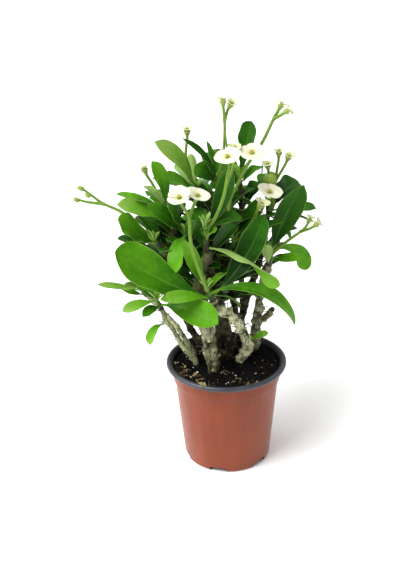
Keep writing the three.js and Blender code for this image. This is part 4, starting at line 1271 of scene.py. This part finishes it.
def leaf_line(root, heading, rise, length, droop, roll, twist, t):
    """An evenly bent midrib, and the directions across a leaf and out of its face along it."""
    turn, start, bend = (math.radians(v) for v in (heading, rise, droop))
    slope = start - bend * t
    if bend:
        run = length / bend * (math.sin(start) - np.sin(slope))
        climb = length / bend * (np.cos(slope) - math.cos(start))
    else:
        run, climb = length * t * math.cos(start), length * t * math.sin(start)
    ahead = level(turn)
    middle = root + run[:, None] * ahead + climb[:, None] * UP
    along = np.cos(slope)[:, None] * ahead + np.sin(slope)[:, None] * UP
    flat = np.array([math.sin(turn), -math.cos(turn), 0])
    square = np.cross(np.broadcast_to(flat, along.shape), along)
    lean = np.radians(roll + twist * t)[:, None]
    across = flat * np.cos(lean) + square * np.sin(lean)
    return middle, across, np.cross(across, along)


def leaf_half_width(width, round_tip, t):
    outline = ROUND_WIDTH if round_tip else POINTED_WIDTH
    share = smooth_read(t, LEAF_STATION, outline)
    if round_tip:
        cap = np.clip((t - ROUND_FROM) / (1 - ROUND_FROM), 0, 1)
        widest = smooth_read(np.array([ROUND_FROM]), LEAF_STATION, outline)
        share = np.where(t > ROUND_FROM, widest * np.sqrt(1 - 0.985 * cap**2), share)
    return np.maximum(0.7, share * width / 2)


def add_leaf(made, root, shape, rows=34, columns=9):
    """A leaf with the midrib of the frame's leaf, a rounded fold, a rib and waved edges.

    Its shape gives its heading and rise where it starts, its length and width, how far it droops,
    its roll, its twist, whether its tip is round, and how light its green is."""
    # The tone is partly the leaf's own green and partly painted light on lit leaves and painted
    # shade on shaded ones.
    heading, rise, length, width, droop, roll, twist, round_tip, tone = shape
    draw = draws_from(int(abs(heading) * 97 + length * 13 + width * 7 + abs(root[2])) + 11)
    t = 1 - (1 - np.linspace(0, 1, rows)) ** 1.6
    middle, across, normal = leaf_line(root, heading, rise, length, droop, roll, twist, t)
    half = leaf_half_width(width, round_tip, t)[:, None]
    blade = smooth_read(np.clip(t / 0.3, 0, 1), [0, 0.35, 1], [0, 0.3, 1])[:, None]
    v = np.sin(np.linspace(-1, 1, columns) * math.pi / 2)
    off, t = np.abs(v)[None], t[:, None]

    fold = math.radians(LEAF_FOLD)
    cup = half * math.sin(fold) * off**1.45 * blade
    phase, waves = next(draw) * ANY_TURN, 1.6 + 1.6 * next(draw)
    sway = width * (0.014 + 0.022 * next(draw))
    wave = sway * np.sin(2 * math.pi * waves * t + phase) * off**2.4
    wave = wave + sway * 0.8 * np.sin(2 * math.pi * (waves + 0.7) * t + phase * 2) * v[None] ** 3
    rib = np.exp(-((v[None] * half) / 1.1) ** 2) * (1 - t) ** 0.6 * blade
    thick = PETIOLE_THICKNESS + (BLADE_THICKNESS - PETIOLE_THICKNESS) * np.minimum(1, t / 0.25)
    thick = thick * np.where(blade > 0.5, 1 - 0.45 * off**3, 1)
    thick = thick * (1 - 0.5 * np.clip((t - 0.85) / 0.15, 0, 1))
    lift = cup + wave * blade
    spread = middle[:, None] + across[:, None] * (half * math.cos(fold) * v[None])[..., None]
    upper = spread + normal[:, None] * (lift + thick / 2 - 0.22 * rib)[..., None]
    lower = spread + normal[:, None] * (lift - thick / 2 - 0.45 * rib)[..., None]
    rings = np.concatenate([upper, lower[:, ::-1]], 1)
    place = np.concatenate([v, v[::-1]]) / 2 + 0.5
    made.skin(rings, [0] * columns + [1] * columns, shades(rings, place, t, tone, 1))


# Blooms and stalks


def bloom_frame(bloom):
    turn, tilt = math.radians(bloom.heading), math.radians(bloom.lean)
    axis = level(turn) * math.sin(tilt) + UP * math.cos(tilt)
    side = np.array([-math.sin(turn), math.cos(turn), 0.0])
    first = turned(side, axis, math.radians(bloom.spin))
    return np.array(bloom.neck, float), axis, first, np.cross(axis, first)


def add_bract(made, bloom, turned_by, drop, draw, small):
    """One kidney-shaped bract: a cupped and waved fan from the neck, with a short point."""
    neck, axis, first, second = bloom_frame(bloom)
    reach, cup = bloom.reach, math.radians(bloom.cup)
    angles = np.radians(np.linspace(-BRACT_SPREAD, BRACT_SPREAD, 33))
    v = np.linspace(-1, 1, 33)
    phase, sway = next(draw) * ANY_TURN, reach * (0.03 + 0.03 * next(draw))
    share = 1 - BRACT_NARROWING * (1 - np.cos(angles * (1.6 if small else 1)))
    point, ripple = 0.05 * np.exp(-((angles / 0.1) ** 2)), 0.025 * np.sin(5 * angles + phase)
    share = share + point + ripple - 0.025
    seam = -0.04 if drop else 0.06
    radial = np.linspace(0, 1, 10)
    rise = cup * (0.75 + 0.25 * radial)
    thick = BRACT_THICKNESS * (1 - 0.45 * radial)[:, None]
    rings = []
    for angle, s, a in zip(angles + turned_by, share, v):
        out = between(first, second, angle)
        run = (reach - BRACT_INNER) * s
        curl = sway * radial**3 * math.sin(3.1 * a + phase) - 0.1 * reach * radial**4
        curl = curl + seam * reach * radial**1.5 * abs(a) ** 5
        path = neck - axis * drop + out * BRACT_INNER + out * (run * radial * np.cos(rise))[:, None]
        path = path + axis * (run * radial * np.sin(rise) + curl)[:, None]
        normal = unit(axis * math.cos(cup) - out * math.sin(cup))
        rings.append(np.vstack([path + normal * thick / 2, (path - normal * thick / 2)[::-1]]))
    rings = np.array(rings)
    outward = np.concatenate([radial, radial[::-1]])
    made.skin(rings, 0, shades(rings, (v / 2 + 0.5)[:, None], outward, float(small)))


def make_bloom(name, bloom, bract):
    draw = draws_for(name, 7, 3)
    small = bloom.reach < LARGE_BLOOM
    made = Gather()
    add_bract(made, bloom, 0, 0, draw, small)
    add_bract(made, bloom, math.pi, 0.4, draw, small)
    made.piece(f"bloom_{name}_bracts", "bract", [bract], f"bloom_{name}", smooth=60)


def add_head(made, bloom):
    """The middle of a bloom: a small cup with five glands round it and a tuft of stamens in it."""
    neck, axis, first, second = bloom_frame(bloom)
    size = 1.0 if bloom.reach >= LARGE_BLOOM else 0.6
    draw = draws_from(int(bloom.neck[2] * 3 + bloom.spin) + 5)
    gland_out = np.linspace(-0.5, 1.1, 6) * size
    gland_up = np.array([0, 0.35, 0.6, 0.7, 0.6, 0.4]) * size
    gland_radii = np.array([0.25, 0.6, 0.78, 0.8, 0.62, 0.2]) * size
    for k in range(5):
        out = between(first, second, k * 2 * math.pi / 5)
        root = neck + axis * 1.4 * size + out * 1.05 * size
        line = root + np.outer(gland_out, out) + np.outer(gland_up, axis)
        made.rod(line, gland_radii, 8, 3, (0, 0.5, 0.15 * next(draw), 1))
    for k in range(6):
        out = between(first, second, k * GOLDEN_ANGLE)
        base = neck + axis * 0.9 * size + out * 0.25 * size
        tip = base + axis * (1.6 + 0.7 * next(draw)) * size + out * (0.3 + 0.3 * next(draw)) * size
        line = base + np.outer(np.linspace(0, 1, 5), tip - base)
        made.rod(line, np.array([0.2, 0.2, 0.2, 0.36, 0.22]) * size, 6, 3, (0, 0.5, 1, 1))


def add_stalk(made, stalk, stout):
    """A flower stalk, which widens into a funnel under its bloom and carries its middle."""
    radius, *route = stalk
    bloom = BLOOMS[route.pop()] if isinstance(route[-1], str) else None
    points = [np.array(p, float) for p in route]
    if bloom:
        neck, axis, *_ = bloom_frame(bloom)
        points += [neck - axis * 8, neck - axis * 6]
    curve = Curve(points)
    t = np.linspace(0, 1, max(6, round(curve.length / 3)))
    line, radii = curve.at(t), stout * (radius + ((1.2 if bloom else 0.8) - radius) * t)
    radii = radii * (1 + 0.22 * np.exp(-((t * curve.length / 2.2) ** 2)))
    lengthwise = t * 0.75
    if bloom:
        stations = np.array([-5, -4, -3, -2, -1.4, -1, -0.9, 0.2, 1.5, 1.9])
        widths = np.array([1.42, 1.74, 2.16, 2.62, 2.86, 2.8, 1.1, 1.0, 1.25, 0.6])
        if bloom.reach < LARGE_BLOOM:
            stations, widths = stations * 1.15 + 0.15, widths * SMALL_FUNNEL
        line = np.vstack([line, neck + np.outer(stations, axis)])
        radii = np.concatenate([radii, widths])
        lengthwise = np.concatenate([lengthwise, np.linspace(0.8, 1, len(stations))])
    rings = round_rings(line, radii, 12)
    made.skin(rings, 2, shades(rings, 0, lengthwise[:, None], 0.55))
    if bloom:
        add_head(made, bloom)


def add_bud(made, centre, length, width):
    """A plump closed bud at the end of its stalk, with two scales that part at its tip."""
    axis = unit(np.array(BUD_AXIS))
    stations = np.array([0, 0.12, 0.3, 0.5, 0.7, 0.86, 0.96, 1])
    widths = np.array([0.45, 0.75, 0.96, 1.0, 0.86, 0.55, 0.3, 0.1]) * width
    start = np.array(centre, float) - axis * length * 0.45
    made.rod(start + np.outer(stations * length, axis), widths, 12, 2, (0, 0.8, 0.7, 1))
    for side in (-1, 1):
        out = unit(axis + side * 0.45 * UP)
        line = start + axis * length * 0.55 + np.outer(np.linspace(0, 0.62, 6) * length, out)
        widths = np.array([0.5, 0.7, 0.62, 0.46, 0.28, 0.08]) * width
        made.rod(line, widths, 8, 2, (0, 0.9, 0.9, 1))


def add_pod(made, centre, size):
    """A swollen pod with three rounded lobes."""
    polar = np.linspace(0.02, math.pi - 0.02, 17)
    angle = circle(30)
    lobes = 1 - 0.16 * (0.5 + 0.5 * np.cos(3 * angle + 0.7)) ** 2
    rings = level_rings(np.sin(polar), np.cos(polar) * size[2], angle)
    rings[..., 0] *= lobes * size[0]
    rings[..., 1] *= lobes * size[1]
    made.skin(rings + centre, 2, (0, 0.8, 1.0, 1))


def stem_leaves(name):
    """Roots and shapes of the leaves that clothe the stem below a shoot, clear of the blooms."""
    count, reach, forward = CLOTHING.get(name, (0, 0, False))
    stem, route = next((s, r) for s in STEMS.values() for r in s.routes if r.to == name)
    curve = route_curve(stem.foot, route)
    draw = draws_for(name, 5, 2)
    low, high = (np.array(corner) / MM for corner in CAD_BOX)
    for k in range(count):
        share = (k + 0.5) / count
        heading = 40 + k * GOLDEN_DEGREES + 25 * (next(draw) - 0.5)
        if not forward and math.sin(math.radians(heading)) < -0.2:
            heading = -heading
        rise = 12 + 38 * share + 16 * next(draw)
        length = 36 + 16 * next(draw)
        width = length * (0.36 + 0.1 * next(draw))
        droop, roll = 18 + 22 * next(draw), 24 * (next(draw) - 0.5)
        # These leaves lie deep in the crown: their dark tones are painted shade.
        round_tip, tone = next(draw) > 0.5, 0.1 + 0.26 * next(draw)
        out = level(math.radians(heading))
        place = 1 - (1 - share) * reach / curve.length
        root = curve.at(place) + out * stem.radius * route.thin * 0.8
        climb = UP * math.sin(math.radians(rise * 0.7))
        way = out * math.cos(math.radians(rise)) + climb
        line = root + np.outer(np.linspace(0.3, 1, 5) * length, way)
        near = min(np.linalg.norm(line - bloom.neck, axis=1).min() for bloom in BLOOMS.values())
        if near > 15 and (line > low + 4).all() and (line < high - 4).all():
            yield root, [heading, rise, length, width, droop, roll, 0, round_tip, tone]


def add_core(made, root, tip):
    """A shoot's soft stem, knobbly, and dark brown where it grows from the bark, partly painted
    shade.
    """
    t = np.linspace(0, 1, 21)
    core = root + np.outer(t, tip - root)
    rings = round_rings(core, SHOOT_RADIUS * (1 - 0.55 * t**2) * (1 + 0.06 * np.sin(t * 30)), 20)
    knobs = noise(rings, 2.1, 5) + 0.5 * noise(rings, 0.9, 9)
    rings = rings + (rings - core[:, None]) * (0.3 * knobs * (1 - 0.6 * t)[:, None])[..., None]
    made.skin(rings, 2, shades(rings, 0, 0.1, -1.0 + 1.3 * t[:, None] + 0.5 * knobs))


def make_shoot(name, materials):
    """A leafy shoot: leaves, soft stem, stalks, buds, and the middles of its flowers."""
    root, tip, along = shoot_frame(name)
    made = Gather()
    add_core(made, root, tip)
    for up, *shape in LEAVES[name]:
        start = root + (tip - root) * up * 0.9 + level(math.radians(shape[0])) * ROOT_START
        add_leaf(made, start, shape, *((40, 13) if shape[2] > 60 else (28, 9)))
    for start, shape in stem_leaves(name):
        add_leaf(made, start, shape, 22, 9)
    draw = draws_for(name, 3, 1)
    for k in range(TIP_LEAVES):
        heading, rise, length = k * GOLDEN_DEGREES + 60, 58 + 18 * next(draw), 9 + 6 * next(draw)
        add_leaf(made, tip - along * 1.5, [heading, rise, length, 3.6, 20, 0, 0, 0, 0.9], 12, 7)
    for stalk in STALKS.get(name, []):
        add_stalk(made, stalk, STOUT.get(name, OTHER_STOUT))
    for on, centre, size in PODS:
        if on == name and min(size) < BUD_SIZE:
            add_bud(made, centre, 2.0 * size[0], 1.15 * size[1])
        elif on == name:
            add_pod(made, centre, size)
    made.piece(f"shoot_{name}_growth", "leaf", materials, f"shoot_{name}", smooth=55)


# Stage


def make_floor():
    n = Nodes("floor", Roughness=0.9)
    mesh = bpy.data.meshes.new("floor")
    r = FLOOR_REACH
    mesh.from_pydata([(-r, -r, 0), (r, -r, 0), (r, r, 0), (-r, r, 0)], [], [(0, 1, 2, 3)])
    pale = n.patches((0.96, 0.96, 0.96), (0.97, 0.97, 0.97), 1.5, low=0.3, high=0.7)
    mesh.materials.append(n.colour(pale))
    floor = put("floor", mesh)


def make_sun(name, heading, height, strength, spread):
    """A soft distant lamp, which stands at a heading and height in degrees."""
    light = bpy.data.lights.new(name, "SUN")
    light.energy, light.angle = strength, math.radians(spread)
    lamp = put(name, light)
    tilt = math.radians(height)
    toward = Vector(level(math.radians(heading)) * math.cos(tilt) + UP * math.sin(tilt))
    lamp.rotation_euler = toward.to_track_quat("Z", "Y").to_euler()
    lamp.location = toward


def make_world():
    """Even white light, and a white backdrop for the camera."""
    world = bpy.data.worlds.new("studio")
    world.use_nodes = True
    tree = world.node_tree
    background = tree.nodes["Background"].inputs
    background["Color"].default_value = (1, 1, 1, 1)
    seen = tree.nodes.new("ShaderNodeMapRange")
    seen.inputs["To Min"].default_value, seen.inputs["To Max"].default_value = WORLD_LIGHT, 1.0
    path = tree.nodes.new("ShaderNodeLightPath")
    tree.links.new(path.outputs["Is Camera Ray"], seen.inputs["Value"])
    tree.links.new(seen.outputs["Result"], background["Strength"])
    bpy.context.scene.world = world
    bpy.context.scene.view_settings.view_transform = "Standard"


def make_camera():
    data = bpy.data.cameras.new("camera")
    data.lens, data.sensor_width = LENS, SENSOR
    data.clip_start, data.clip_end = 0.05, 50
    camera = put("camera", data)
    tilt = Matrix.Rotation(math.radians(90 - CAMERA_TILT), 4, "X")
    roll = Matrix.Rotation(math.radians(CAMERA_ROLL), 4, "Z")
    camera.matrix_world = Matrix.Translation(CAMERA_AT) @ tilt @ roll
    bpy.context.scene.camera = camera


def main():
    make_camera()
    make_floor()
    make_world()
    for name, sun in SUNS.items():
        make_sun(name, *sun)
    make_pot(pot_outer_material(), pot_inner_material())
    compost = soil_material()
    make_soil(compost)
    moss = dry_material("moss", 0.85, 500, srgb(58, 44, 22), srgb(108, 92, 52), srgb(166, 152, 104))
    fibre = dry_material("fibre", 0.8, 600, srgb(58, 44, 26), srgb(104, 84, 52), srgb(146, 128, 84))
    make_litter(compost, perlite_material(), moss, fibre)
    bark, spine = bark_material(), spine_material()
    for name, stem in STEMS.items():
        make_stem(name, stem, bark, spine, f"stem_{name}")
    for name, stem in EXTRA_STEMS.items():
        make_stem(name, stem, bark, spine)
    greens = [leaf_top_material(), leaf_under_material(), stalk_material(), eye_material()]
    for name in AXES:
        make_shoot(name, greens)
    for name, (root, shape) in LONE_LEAVES.items():
        made = Gather()
        add_leaf(made, np.array(root, float), shape)
        made.piece(f"leaf_{name}_blade", "leaf", greens, f"leaf_{name}", smooth=55)
    bract = bract_material()
    for name, bloom in BLOOMS.items():
        make_bloom(name, bloom, bract)


main()
